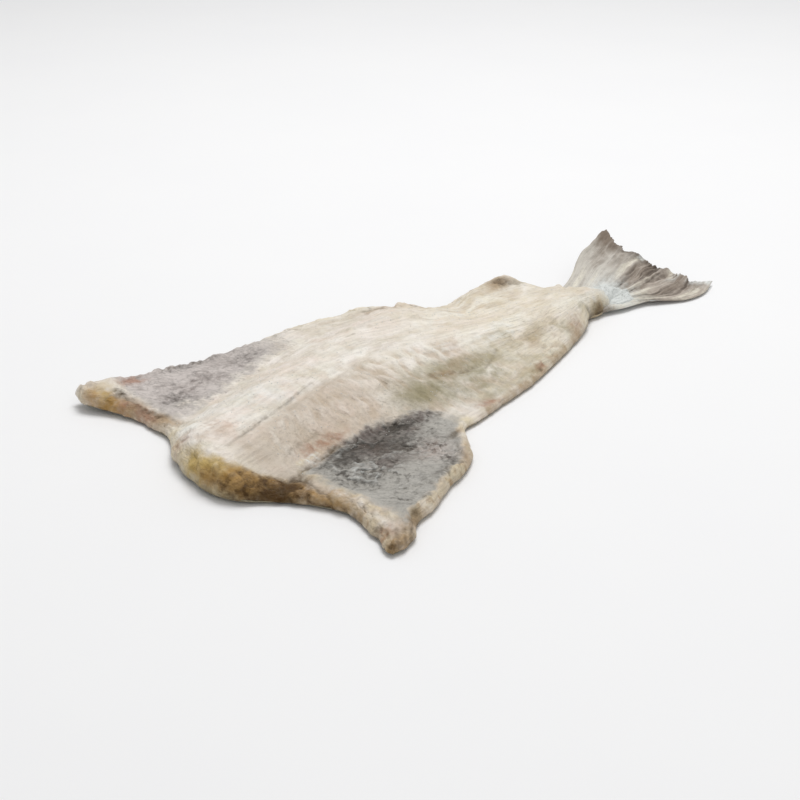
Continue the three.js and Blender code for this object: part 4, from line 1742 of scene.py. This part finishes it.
def fin_finish() -> TissueFinish:
    """Pale grey fin, brown mauve on its near lobe, with brown tips and white salt.

    Returns:
        The finish.
    """
    washes = (
        Wash(Tint.CREAM_AND_HIGHLIGHT, (206, 201, 191), 0.85, 1.2, 140),
        Wash(Tint.MAUVE, (177, 165, 153), 0.95, 1.8, 130),
        Wash(Tint.MILKY_AND_PAINTED_LIGHT, (243, 237, 219), 0.95, 1.4, 160),
        # Brown tip and streaks, and painted shade in the root's hollow.
        Wash(Tint.TAN, (118, 102, 86), 0.9, 1.4, 160),
        # Dark margin and furrows, partly painted shade in the furrows and the fold.
        Wash(Tint.DARK, (86, 75, 65), 0.9, 1.4, 260),
        Wash(Tint.SALT_AND_HIGHLIGHT, (222, 224, 220), 0.95, 1.6, 330),
    )
    return TissueFinish(
        "tail fin", (204, 197, 187), (186, 178, 168), washes,
        streak_length=30.0, streak_width=0.9, painted_streak_shade=0.16,
        speck=(110, 98, 90), speck_share=0.15, roughness=0.6, bump_height=0.3,
    )


@dataclass(frozen=True)
class SaltFinish:
    """Dull white crystals with a slight sparkle."""

    name: str = "coarse salt"
    colour: Colour = (224, 226, 222)
    shade: Colour = (196, 200, 198)

    def material(self) -> bpy.types.Material:
        """White with faint grey clouds, rougher where the noise is high.

        Returns:
            The material.
        """
        made, weave = bare_material(self.name)
        noise = weave.noise(weave.place(), 700.0, 2.0)
        colour = weave.blend(noise, linear(self.shade), linear(self.colour))
        weave.surface({"Base Color": colour, "Roughness": weave.remap(noise, 0.3, 0.7, 0.25, 0.5)})
        return made


# ---------------------------------------------------------------------------------------------
# Sub-assemblies
# ---------------------------------------------------------------------------------------------


@dataclass
class FleshBody:
    """The flesh of the whole fish up to the root of the tail fin, as one closed piece."""

    form: Form
    grain: Grainwork
    stains: Stains
    rows: int = 440
    columns: int = 208
    sole_step: int = 4
    sole_gap: float = 0.5
    tail_end: float = 0.86
    tuck: float = 0.42

    def patch(self) -> Patch:
        """The part of the plan that the flesh covers."""
        return Patch(self.form.plan, u_end=self.tail_end, tuck=self.tuck)

    def height(self, x: Array, y: Array) -> Array:
        """Height of the finished flesh side at plan places."""
        inset = self.patch().inset(x, y)
        return self.form.top(x, y, inset, self.grain.detail(x, y, inset))

    def build(self) -> Piece:
        """The flesh side on a fine grid, the underside on a coarse one, and torn relief pushed out.

        Returns:
            The closed piece with its tints and fibre coordinates.
        """
        x, y = self.patch().grid(self.rows, self.columns)[2:]
        inset = bordered(self.patch().inset(x, y), 0.0)
        top = self.form.top(x, y, inset, self.grain.detail(x, y, inset))
        sole = self.form.sole(x, y, inset) + self.sole_gap
        piece, source, count = coarse_sole(
            "cod_flesh", points(x, y, top), points(x, y, sole), self.sole_step
        )
        x, y, inset = gathered(source, x, y, inset)
        solid = piece.vertices.T
        neck = fading(self.form.plan.behind_neck(x, y), 10, 24)
        tears = 0.8 * Noise(41).fractal(9, *solid) + 0.35 * Noise(42).fractal(3.2, *solid)
        tears = tears * fading(inset, 3, 14) * (np.arange(len(source)) < count)
        crumbs = Noise(43).fractal(8.0, *solid) + 0.35 * Noise(44).fractal(2.6, *solid)
        piece.push((tears + 1.3 * crumbs * neck) * fading(x, 340, 360))
        z = piece.vertices[:, 2]
        values = self.stains.paint(x, y, inset)
        self.stains.paint_cut(values, x, y, z)
        # Painted shade: darkens the lower part of every edge's height, less high at the neck,
        # uneven by noise, and not past the tail's root.
        under_shade_share = lerp(0.75, 1.0, smoothstep(Noise(40).fractal(7, *piece.vertices.T), -0.4, 0.4))
        under_shade_share = under_shade_share * (1.0 - 0.8 * smoothstep(x, 348, 358))
        share = (z - self.form.lift(x, y)) / self.form.thickness(x, y)
        values[Tint.PAINTED_UNDER_SHADE.value] = under_shade_share * fading(share, 0.02, lerp(0.55, 0.4, neck))
        # Painted shade near the neck, deepest where the crumbs are pushed in.
        neck_pit_shade = values[Tint.PAINTED_PIT_SHADE.value] + neck * (0.12 - 0.8 * crumbs)
        values[Tint.PAINTED_PIT_SHADE.value] = np.clip(neck_pit_shade, 0, 1)
        piece.values = {**values, **self.grain.directions(x, y, z)}
        return piece


@dataclass
class BellyLining:
    """The thin lining of one belly flap: a ruled patch from its inner to its outer line."""

    name: str
    body: FleshBody
    inner: Line
    outer: Line
    wrinkle: float
    seed: int
    rows: int = 230
    columns: int = 180
    film: float = 0.35
    sink: float = 0.7
    cover: float = 0.4
    least: float = 0.05
    wrinkle_shade_and_highlight: float = 1.0
    curl: float = 8.2
    stretch: float = 1.5
    run: tuple[float, float] = (0.72, 0.69)

    def turned(self, x: Array, y: Array) -> tuple[Array, Array]:
        """Plan places along the wrinkles' run and across it."""
        c, s = self.run
        return c * x - s * y, s * x + c * y

    def wrinkles(self, x: Array, y: Array) -> tuple[Array, Array]:
        """Curled crests, each with a trough beside it.

        They follow two neighbouring contour lines of a noise whose plan is turned to the wrinkles'
        run, stretched along it and bent by a slower noise. Another noise leaves calm places.

        Args:
            x: plan places.
            y: plan places.

        Returns:
            Crests and troughs, each from 0 to 1.
        """
        bend = 4.5 * Noise(self.seed).fractal(9, x, y, octaves=2)
        along, across = self.turned(x, y)
        along, across = (along + bend) / self.stretch, across - bend
        level = Noise(self.seed + 1).fractal(self.curl, along, across, octaves=2)
        lively = smoothstep(Noise(self.seed + 2).fractal(13, x, y, octaves=2), -0.4, 0.3)
        return lively * bell(level - 0.2, 0.36), lively * bell(level + 0.14, 0.4)

    def build(self) -> Piece:
        """The film: over the flesh inside, sunk under it round the border.

        Returns:
            The closed piece with its tints and fibre coordinates.
        """
        shares = (np.linspace(0, 1, count + 1) for count in (self.rows, self.columns))
        s, t = np.meshgrid(*shares, indexing="ij")
        ends = []
        for line in (self.inner, self.outer):
            knots = np.linspace(0, 1, len(line))
            ends.append([through(tuple(zip(knots, places)), s) for places in np.array(line).T])
        x, y = (lerp(inner, outer, t) for inner, outer in zip(*ends))
        border = np.minimum.reduce([s, 1 - s, t, 1 - t]) * 2.0
        lying = smoothstep(border, 0.0, 0.12)
        calm = smoothstep(border, 0.02, 0.22)
        stains = self.body.stains
        strong = np.maximum(stains.spots(Tint.DARK, x, y), 0.4 * stains.spots(Tint.PLUM, x, y))
        crest, trough = (calm * lerp(0.22, 1.0, strong) * line for line in self.wrinkles(x, y))
        ground = self.body.height(x, y)
        pimples = 0.25 * Noise(self.seed + 3).fractal(2.6, x, y, octaves=2) * calm
        relief = self.wrinkle * (crest - 0.8 * trough + pimples)
        top = ground + lerp(-self.sink, self.film, lying) + relief
        sole = ground - self.sink - self.cover
        top = np.maximum(top, sole + self.least)
        # The columns run towards y, so that the film's upper side faces up.
        order = slice(None) if self.outer[0][1] > self.inner[0][1] else slice(None, None, -1)
        grids = [g[:, order] for g in (x, y, top, sole, crest, trough)]
        piece, source = closed_sheet(self.name, points(*grids[:3]), points(*grids[:2], grids[3]))
        x, y, crest, trough = gathered(source, *grids[:2], *grids[4:])
        piece.values = stains.paint(x, y, self.body.patch().inset(x, y))
        self.shade(piece.values, x, y, crest, trough)
        piece.values["fibre"] = points(*self.turned(x, y), piece.vertices[:, 2])
        return piece

    def shade(self, values: Values, x: Array, y: Array, crest: Array, trough: Array) -> None:
        """Paints shade into the troughs of the wrinkles and a highlight onto their crests, whitest
        near the front.

        Args:
            values: tints by name.
            x: plan places.
            y: plan places.
            crest: 0 to 1 on crests.
            trough: 0 to 1 in troughs.
        """
        lined, front = values[Tint.LINING.value], Blot(47, -70, 22, 26, 1.0).mask(x, y)
        # Painted shade: the dark tint laid into the troughs; painted highlight: the plum lifted and
        # salt white laid on the crests.
        dark = values[Tint.DARK.value] * (1.0 - 0.5 * crest) + self.wrinkle_shade_and_highlight * trough * lined
        values[Tint.DARK.value] = np.clip(dark, 0, 1)
        values[Tint.PLUM.value] = values[Tint.PLUM.value] * (1.0 - 0.4 * crest)
        pale = self.wrinkle_shade_and_highlight * crest * lined * (0.05 + 0.5 * front)
        values[Tint.SALT_AND_HIGHLIGHT.value] = np.maximum(values[Tint.SALT_AND_HIGHLIGHT.value], pale)


@dataclass
class SkinShell:
    """The skin under the fish, folded up round the rim to the waist of the flesh."""

    form: Form
    stains: Stains
    rows: int = 240
    columns: int = 120
    thickness: float = 0.9
    scale_depth: float = 0.12
    spare: float = -0.0012
    tail_end: float = 0.864
    tuck: float = 0.41

    def build(self) -> Piece:
        """A closed lens: the sole's own surface below, and an inner face buried in the flesh.

        Returns:
            The piece with its tints and fibre coordinates.
        """
        patch = Patch(self.form.plan, -self.spare, self.tail_end, self.spare, self.tuck)
        _, w, x, y = patch.grid(self.rows, self.columns)
        inset = bordered(patch.inset(x, y), 0.0)
        sole = self.form.sole(x, y, inset)
        scales = Noise(51).creases(2.6, x, y * 1.3) * smoothstep(inset, 1, 6)
        inner = sole + self.thickness * rounding(inset, 3.0)
        outer = sole + self.scale_depth * (1.0 - scales)
        piece, source = closed_sheet("cod_skin", points(x, y, inner), points(x, y, outer))
        x, y, inset, w = gathered(source, x, y, inset, w)
        piece.values = self.stains.paint(x, y, inset)
        # Painted shade: the pale rim is left off at the neck, so that the skin's dark colour stands
        # for the shade at the foot of the cut.
        front = fading(self.form.plan.behind_neck(x, y), 8, 20)
        piece.values[Tint.CREAM_AND_HIGHLIGHT.value] = fading(inset, 0.5, 7.0) * (1.0 - 0.8 * front)
        piece.values["fibre"] = points(x, (w - 0.5) * self.stains.grain.flow_width, 0 * x)
        return piece


@dataclass
class TailFin:
    """The tail fin: a thin twisted fan of rays that grows out of the stem."""

    form: Form
    rows: int = 176
    columns: int = 280
    u_start: float = 0.757
    root_thickness: float = 3.4
    margin_thickness: float = 1.6
    root_height: float = 3.9
    margin_height: float = 1.3
    least_height: float = 0.9
    root_zone: float = 0.04
    root_steps: int = 12
    side_zone: float = 0.02
    side_steps: int = 14
    flow_size: tuple[float, float] = (110.0, 80.0)

    def rays(self, s: Array, w: Array) -> Array:
        """Crests of the fin rays, 0 to 1: noise long along the rays, finer towards the margin.

        Args:
            s: shares of the length.
            w: shares of the width.

        Returns:
            The crests.
        """
        bend = 0.042 * Noise(61).fractal(1.0, s * 4.2, w * 7)
        broad = Noise(62).fractal(1.0, s * 2.2, (w + bend) * 26, octaves=2)
        fine = Noise(63).fractal(1.0, s * 4.0, (w + bend) * 60, octaves=2)
        return np.clip(0.5 + 0.6 * lerp(broad, fine, 0.35 + 0.25 * smoothstep(s, 0.5, 0.9)), 0, 1)

    def sheet(self, u: Array, w: Array, x: Array, y: Array, inset: Array) -> tuple[Array, ...]:
        """Heights of the fin's two faces, and its rays.

        The middle surface is the curl of the form with a fold between the two lobes and a lumpy
        margin; the near lobe is crumpled in waves that run out along its rays.

        Args:
            u: patch places from neck to tail.
            w: patch places from the right side to the left.
            x: plan places.
            y: plan places.
            inset: distance to the fin's outline.

        Returns:
            Upper face, lower face and ray crests.
        """
        s = np.clip((u - self.u_start) / (1.0 - self.u_start), 0.0, 1.0)
        ray = self.rays(s, w)
        near = fading(w, 0.5, 0.66)
        fold = -2.6 * bell(w - 0.5, 0.1) * smoothstep(s, 0.12, 0.4)
        fold = fold * (1.0 - 0.6 * smoothstep(s, 0.6, 1.0))
        lumps = (2.8 + 1.4 * near) * Noise(64).fractal(1.0, s * 4.0, w * 10)
        lumps = lumps * smoothstep(s, 0.3, 0.8)
        waves = 3.2 * (ray - 0.45) * near * smoothstep(s, 0.1, 0.35)
        lifted = self.form.lift(x, y)
        free = smoothstep(lifted, 1, 8)
        middle = lifted + lerp(self.root_height, self.margin_height, smoothstep(x, 352, 388))
        middle = middle + (fold + lumps) * free + waves * lerp(0.35, 1.0, free)
        middle = np.maximum(middle, self.least_height)
        thick = lerp(self.root_thickness, self.margin_thickness, smoothstep(s, 0.0, 0.8))
        half = thick / 2 * rounding(inset, 1.6)
        relief = 0.55 * ray * smoothstep(inset, 0.2, 2.5)
        relief = relief * smoothstep(s, 0.08, 0.3) * lerp(0.45, 1.0, near)
        crust = 0.4 * Noise(65).fractal(2.4, x, y) * fading(s, 0.25, 0.5) * smoothstep(inset, 0, 3)
        return middle + half + relief + crust, middle - half - 0.3 * relief, ray

    def build(self) -> Piece:
        """The fan, with its margin cut back in notches between lumps.

        Returns:
            The closed piece with its tints and fibre coordinates.
        """
        patch = Patch(self.form.plan, u_start=self.u_start)
        along = spread(self.rows, self.root_zone, self.root_steps)
        across = spread(self.columns, self.side_zone, self.side_steps)
        s, t = np.meshgrid(along, across, indexing="ij")
        u, w, x, y = patch.place(s, t)
        inset = bordered(patch.inset(x, y), 0.0)
        upper, lower, ray = self.sheet(u, w, x, y, inset)
        lobes = Noise(66).fractal(0.07, w, octaves=2)
        nicks = Noise(67).fractal(0.02, w, octaves=2)
        ragged = lerp(1.0, 1.8, bell(w - 0.66, 0.3)) * (2.4 * lobes + 1.3 * nicks)
        notch = 4.0 * bell(w - 0.72, 0.045) + 3.0 * bell(w - 0.83, 0.03) + np.maximum(ragged, -1.0)
        x = x - notch * smoothstep(s, 0.72, 1.0) * smoothstep(np.minimum(t, 1 - t), 0.0, 0.04)
        piece, source = closed_sheet("cod_tail_fin", points(x, y, upper), points(x, y, lower))
        x, y, s, w, ray = gathered(source, x, y, s, w, ray)
        piece.values = self.tints(x, y, s, w, ray)
        piece.values["fibre"] = points(s * self.flow_size[0], (w - 0.5) * self.flow_size[1], 0 * x)
        return piece

    def tints(self, x: Array, y: Array, s: Array, w: Array, ray: Array) -> Values:
        """Pale far lobe, brown mauve near lobe with dark furrows, brown tip and salted edges, with
        painted shade in the furrows, the fold and the root's hollow.

        Args:
            x: plan places.
            y: plan places.
            s: shares of the length.
            w: shares of the width.
            ray: the rays' crests.

        Returns:
            The tints by name.
        """
        near = fading(w + 0.05 * Noise(68).fractal(0.2, w, s), 0.5, 0.66)
        tip = Blot(416, 47, 13, 9, 1.0, 40).mask(x, y)
        margin = smoothstep(s + 0.06 * Noise(69).fractal(0.1, w), 0.82, 0.97)
        # Dark in the furrows between the rays: partly their own grey brown, partly painted shade;
        # dark in the fold between the lobes: painted shade.
        furrow = fading(ray, 0.25, 0.6)
        crease = bell(w - 0.54, 0.09) * between(s, 0.22, 0.5, 0.12)
        # Painted shade in the hollow where the stem ends over the fin.
        hollow = Blot(350, -9, 10, 5, 1.3, -8).mask(x, y)
        salted = Blot(371, -1, 15, 18, 1.1).mask(x, y) + Blot(376, 11, 12, 9, 0.6).mask(x, y)
        edge = near * smoothstep(s, 0.6, 0.95) * smoothstep(ray, 0.55, 0.9)
        edge = edge + Blot(454, -28, 10, 4, 0.4).mask(x, y)
        crumbs = smoothstep(Noise(70).fractal(0.05, w), -0.1, 0.5) * (w < 0.62)
        edge = edge + bell(s - 0.97, 0.06) * crumbs
        dark = furrow * lerp(0.12, 0.65, near) * smoothstep(s, 0.15, 0.4) + 0.6 * crease
        dark = dark + 0.7 * margin * bell(w - 0.6, 0.34) + Blot(437, -24, 14, 6, 0.4).mask(x, y)
        streaked = Noise(71).fractal(1.0, s * 2.6, w * 15)
        browned = smoothstep(streaked, 0.05, 0.6) * lerp(0.35, 0.5, near)
        pale = 0.55 * smoothstep(-streaked, 0.1, 0.6) * smoothstep(s, 0.1, 0.3)
        return {
            Tint.MAUVE.value: near * smoothstep(s, 0.12, 0.3),
            Tint.TAN.value: np.clip(tip + hollow + browned + 0.35 * margin * (w > 0.45), 0, 1),
            Tint.DARK.value: np.clip(dark, 0, 1),
            Tint.CREAM_AND_HIGHLIGHT.value: (1 - near) * fading(s, 0.5, 0.95),
            Tint.MILKY_AND_PAINTED_LIGHT.value: np.clip(Blot(366, -14, 20, 6, 1.6, -6).mask(x, y) + pale, 0, 1),
            Tint.SALT_AND_HIGHLIGHT.value: np.clip(salted + 0.55 * edge, 0, 1),
        }


@dataclass
class SaltCrust:
    """The cake of salt over the root of the tail fin, and coarse grains on it and on the flesh."""

    body: FleshBody
    fin: TailFin
    rows: int = 150
    columns: int = 150
    u_range: tuple[float, float] = (0.782, 0.87)
    w_range: tuple[float, float] = (0.01, 0.74)
    height: float = 1.5
    sink: float = 1.6
    least: float = 0.02
    root_x: float = 346.0
    rear_length: float = 420.0
    crusted: int = 120
    scattered: int = 700
    seed: int = 7

    def ground(self, u: Array, w: Array, x: Array, y: Array) -> tuple[Array, Array]:
        """What lies under the salt: the higher of the flesh side and the fin's upper face.

        Args:
            u: patch places from neck to tail.
            w: patch places from the right side to the left.
            x: plan places.
            y: plan places.

        Returns:
            Its height and its depth.
        """
        patch = Patch(self.body.form.plan, u_start=self.fin.u_start)
        upper, lower, _ = self.fin.sheet(u, w, x, y, patch.inset(x, y))
        on_fin = np.where(u > self.fin.u_start + 0.004, upper, 0.0)
        flesh = np.where(self.body.patch().covers(x, y), self.body.height(x, y), 0.0)
        return np.maximum(flesh, on_fin), np.where(flesh >= on_fin, flesh, upper - lower)

    def cake(self, x: Array, y: Array) -> Array:
        """The cake over its ground, -1 where it is sunk: two ovals, torn and granular.

        Args:
            x: plan places.
            y: plan places.

        Returns:
            Height.
        """
        cover = Blot(372, -4, 14, 12, 1.0, -15).mask(x, y) + Blot(371, 10, 11, 8, 0.7).mask(x, y)
        torn = cover - 0.42 + 0.14 * Noise(45).fractal(7, x, y)
        torn = torn + 0.12 * Noise(46).fractal(2.6, x, y) - 0.8 * fading(x, 352, 360)
        grain = 0.9 + 0.14 * Noise(47).fractal(6, x, y)
        grain = grain + 0.1 * Noise(48).fractal(2.2, x, y, octaves=2)
        raised = self.height * smoothstep(torn, -0.02, 0.25) * grain
        return raised - 1.0 + smoothstep(torn, -0.12, 0.04)

    def grains(self) -> Piece:
        """Grains of eight corners: a turned box whose corners are moved at random.

        Returns:
            All grains as one block of the piece.
        """
        rng = np.random.default_rng(self.seed)
        crust = rng.normal(size=(self.crusted, 2)) * (8.0, 7.0) + (373, 0)
        loose = rng.uniform((0, -50), (330, 70), size=(self.scattered, 2))
        place = np.concatenate([crust, loose])
        inside = self.body.patch().inset(*place.T)
        sizes = [rng.uniform(0.3, 0.8, self.crusted), rng.uniform(0.25, 0.65, self.scattered)]
        size = np.concatenate(sizes)
        corners = np.array(list(np.ndindex(2, 2, 2))) - 0.5
        boxes = corners * size[:, None, None] * rng.uniform(0.7, 1.0, (len(size), 1, 3))
        boxes = boxes * rng.uniform(0.75, 1.0, boxes.shape)
        spin = rng.uniform(0, 2 * np.pi, len(size))
        tilt = rng.normal(0, 0.35, (len(size), 2))
        c, s = np.cos(spin)[:, None], np.sin(spin)[:, None]
        x, y, z = np.moveaxis(boxes, -1, 0)
        turned = points(x * c - y * s, x * s + y * c, z + x * tilt[:, :1] + y * tilt[:, 1:])
        on_cake = np.arange(len(size)) < self.crusted
        height = self.body.height(*place.T)
        rear = place[on_cake]
        w = self.body.form.plan.share(*rear.T)
        u = self.body.form.plan.stem_share + (rear[:, 0] - self.root_x) / self.rear_length
        height[on_cake] = self.ground(u, w, *rear.T)[0] + np.maximum(self.cake(*rear.T), 0.0)
        centre = points(*place.T, height + 0.15 * size)
        whole = Patch(self.body.form.plan)
        within = whole.covers(*place.T) & (whole.inset(*place.T) > 3.5)
        keep = (inside > 1.0) & within & (~on_cake | (self.cake(*place.T) > 0.3))
        vertices = (turned + centre[:, None])[keep].reshape(-1, 3)
        sides = [[0, 1, 3, 2], [4, 6, 7, 5], [0, 4, 5, 1], [2, 3, 7, 6], [0, 2, 6, 4], [1, 5, 7, 3]]
        faces = (np.array(sides) + 8 * np.arange(keep.sum())[:, None, None]).reshape(-1, 4)
        return Piece("grains", vertices, [faces])

    def build(self) -> Piece:
        """The cake as a closed sheet sunk under its ground round the border, joined by the grains.

        Returns:
            All salt as one piece.
        """
        patch = Patch(self.body.form.plan)
        s = np.linspace(*self.u_range, self.rows + 1)
        t = np.linspace(*self.w_range, self.columns + 1)
        u, w, x, y = patch.place(*np.meshgrid(s, t, indexing="ij"))
        ground, depth = self.ground(u, w, x, y)
        cake = lerp(-1.0, self.cake(x, y), smoothstep(patch.inset(x, y), 1.5, 3.5))
        cake = bordered(cake, -1.0)
        sink = np.minimum(self.sink, 0.45 * depth)
        sole = ground - 1.3 * sink
        top = ground + np.maximum(cake, 0.0) + sink * np.minimum(cake, 0.0)
        top = np.maximum(top, sole + self.least)
        piece, _ = closed_sheet("cod_salt", points(x, y, top), points(x, y, sole))
        loose = self.grains()
        piece.faces.append(loose.faces[0] + len(piece.vertices))
        piece.vertices = np.concatenate([piece.vertices, loose.vertices])
        return piece


@dataclass(frozen=True)
class Studio:
    """Pale floor, soft light and the camera, whose eye is given in plan millimetres."""

    origin: Array
    eye: tuple[float, float, float] = (-471.4, -641.1, 430.3)
    heading: tuple[float, float] = (0.6947, 0.7193)
    pitch: float = 26.0
    view_angle: float = 30.0
    floor_size: float = 12.0
    floor_drop: float = 0.0004
    floor_colours: tuple[Colour, Colour] = ((238, 238, 239), (241, 241, 241))
    sky: float = 0.48

    def build(self) -> None:
        """Places the camera, the floor, the lamps and the sky."""
        scene = bpy.context.scene
        scene.view_settings.view_transform = "Standard"
        lens = bpy.data.cameras.new("camera")
        lens.angle = math.radians(self.view_angle)
        camera = bpy.data.objects.new("camera", lens)
        down = math.radians(self.pitch)
        look = Vector((*(h * math.cos(down) for h in self.heading), -math.sin(down)))
        camera.location = (np.array(self.eye) - self.origin) * MILLIMETRE
        camera.rotation_euler = look.to_track_quat("-Z", "Y").to_euler()
        scene.collection.objects.link(camera)
        scene.camera = camera
        self.floor()
        self.lamp("key", (0.55, 0.35, 2.1), 1.3, 31.0)
        self.lamp("fill", (-0.6, -1.4, 1.5), 1.6, 4.0)
        world = bpy.data.worlds.new("sky")
        world.use_nodes = True
        background = world.node_tree.nodes["Background"]
        background.inputs["Color"].default_value = (1.0, 1.0, 1.0, 1.0)
        background.inputs["Strength"].default_value = self.sky
        scene.world = world

    def floor(self) -> None:
        """A wide pale plane just below the ground, with very faint clouds."""
        half, drop = self.floor_size / 2, self.floor_drop
        mesh = bpy.data.meshes.new("floor")
        corners = [(i * half, j * half, -drop) for i, j in ((-1, -1), (1, -1), (1, 1), (-1, 1))]
        mesh.from_pydata(corners, [], [(0, 1, 2, 3)])
        made, weave = bare_material("pale floor")
        noise = weave.noise(weave.place(), 6.0)
        colour = weave.blend(noise, *(linear(shade) for shade in self.floor_colours))
        weave.surface({"Base Color": colour, "Roughness": 0.8})
        mesh.materials.append(made)
        floor = bpy.data.objects.new("floor", mesh)
        bpy.context.scene.collection.objects.link(floor)

    def lamp(self, name: str, place: tuple[float, float, float], size: float, watts: float) -> None:
        """A square soft lamp aimed at the fish.

        Args:
            name: its name.
            place: where it hangs.
            size: its side.
            watts: its power.
        """
        data = bpy.data.lights.new(name, "AREA")
        data.size, data.energy = size, watts
        lamp = bpy.data.objects.new(name, data)
        lamp.location = place
        lamp.rotation_euler = (-Vector(place)).to_track_quat("-Z", "Y").to_euler()
        bpy.context.scene.collection.objects.link(lamp)


def main() -> None:
    """Builds the studio and every piece in order, and reports each one."""
    form = Form(Plan())
    low, high = (np.array(corner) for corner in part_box("cod"))
    rim = Patch(form.plan).rim()
    middle = (rim.min(0) + rim.max(0)) / 2
    origin = np.array([*(middle - (low + high)[:2] / 2 / MILLIMETRE), 0.0])
    Studio(origin).build()
    grain = Grainwork(form)
    stains = Stains(form, grain)
    body = FleshBody(form, grain, stains)
    flesh = body.build().make(origin, flesh_finish().material(), Slot.FLESH)
    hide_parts("cod")
    lining = lining_finish().material()
    BellyLining(
        "cod_lining_right", body,
        ((20, -45), (41, -39), (56, -35), (70, -32), (84, -28), (100, -28), (122, -31), (142, -46)),
        ((30, -120), (50, -121), (76, -112), (98, -103), (112, -94), (122, -84), (136, -66)),
        1.7, 71,
    ).build().make(origin, lining, Slot.MEMBRANE)
    BellyLining(
        "cod_lining_left", body,
        ((10, 60), (39, 64), (81, 76), (116, 90), (150, 100)),
        ((4, 126), (40, 125), (76, 123), (106, 121), (150, 120)),
        0.5, 81, wrinkle_shade_and_highlight=0.1, curl=4.5,
    ).build().make(origin, lining, Slot.MEMBRANE)
    SkinShell(form, stains).build().make(origin, skin_finish().material(), Slot.SKIN)
    fin = TailFin(form)
    fin.build().make(origin, fin_finish().material(), Slot.FIN)
    SaltCrust(body, fin).build().make(origin, SaltFinish().material(), Slot.SALT)


if __name__ == "__main__":
    logging.basicConfig(level=logging.INFO)
    main()
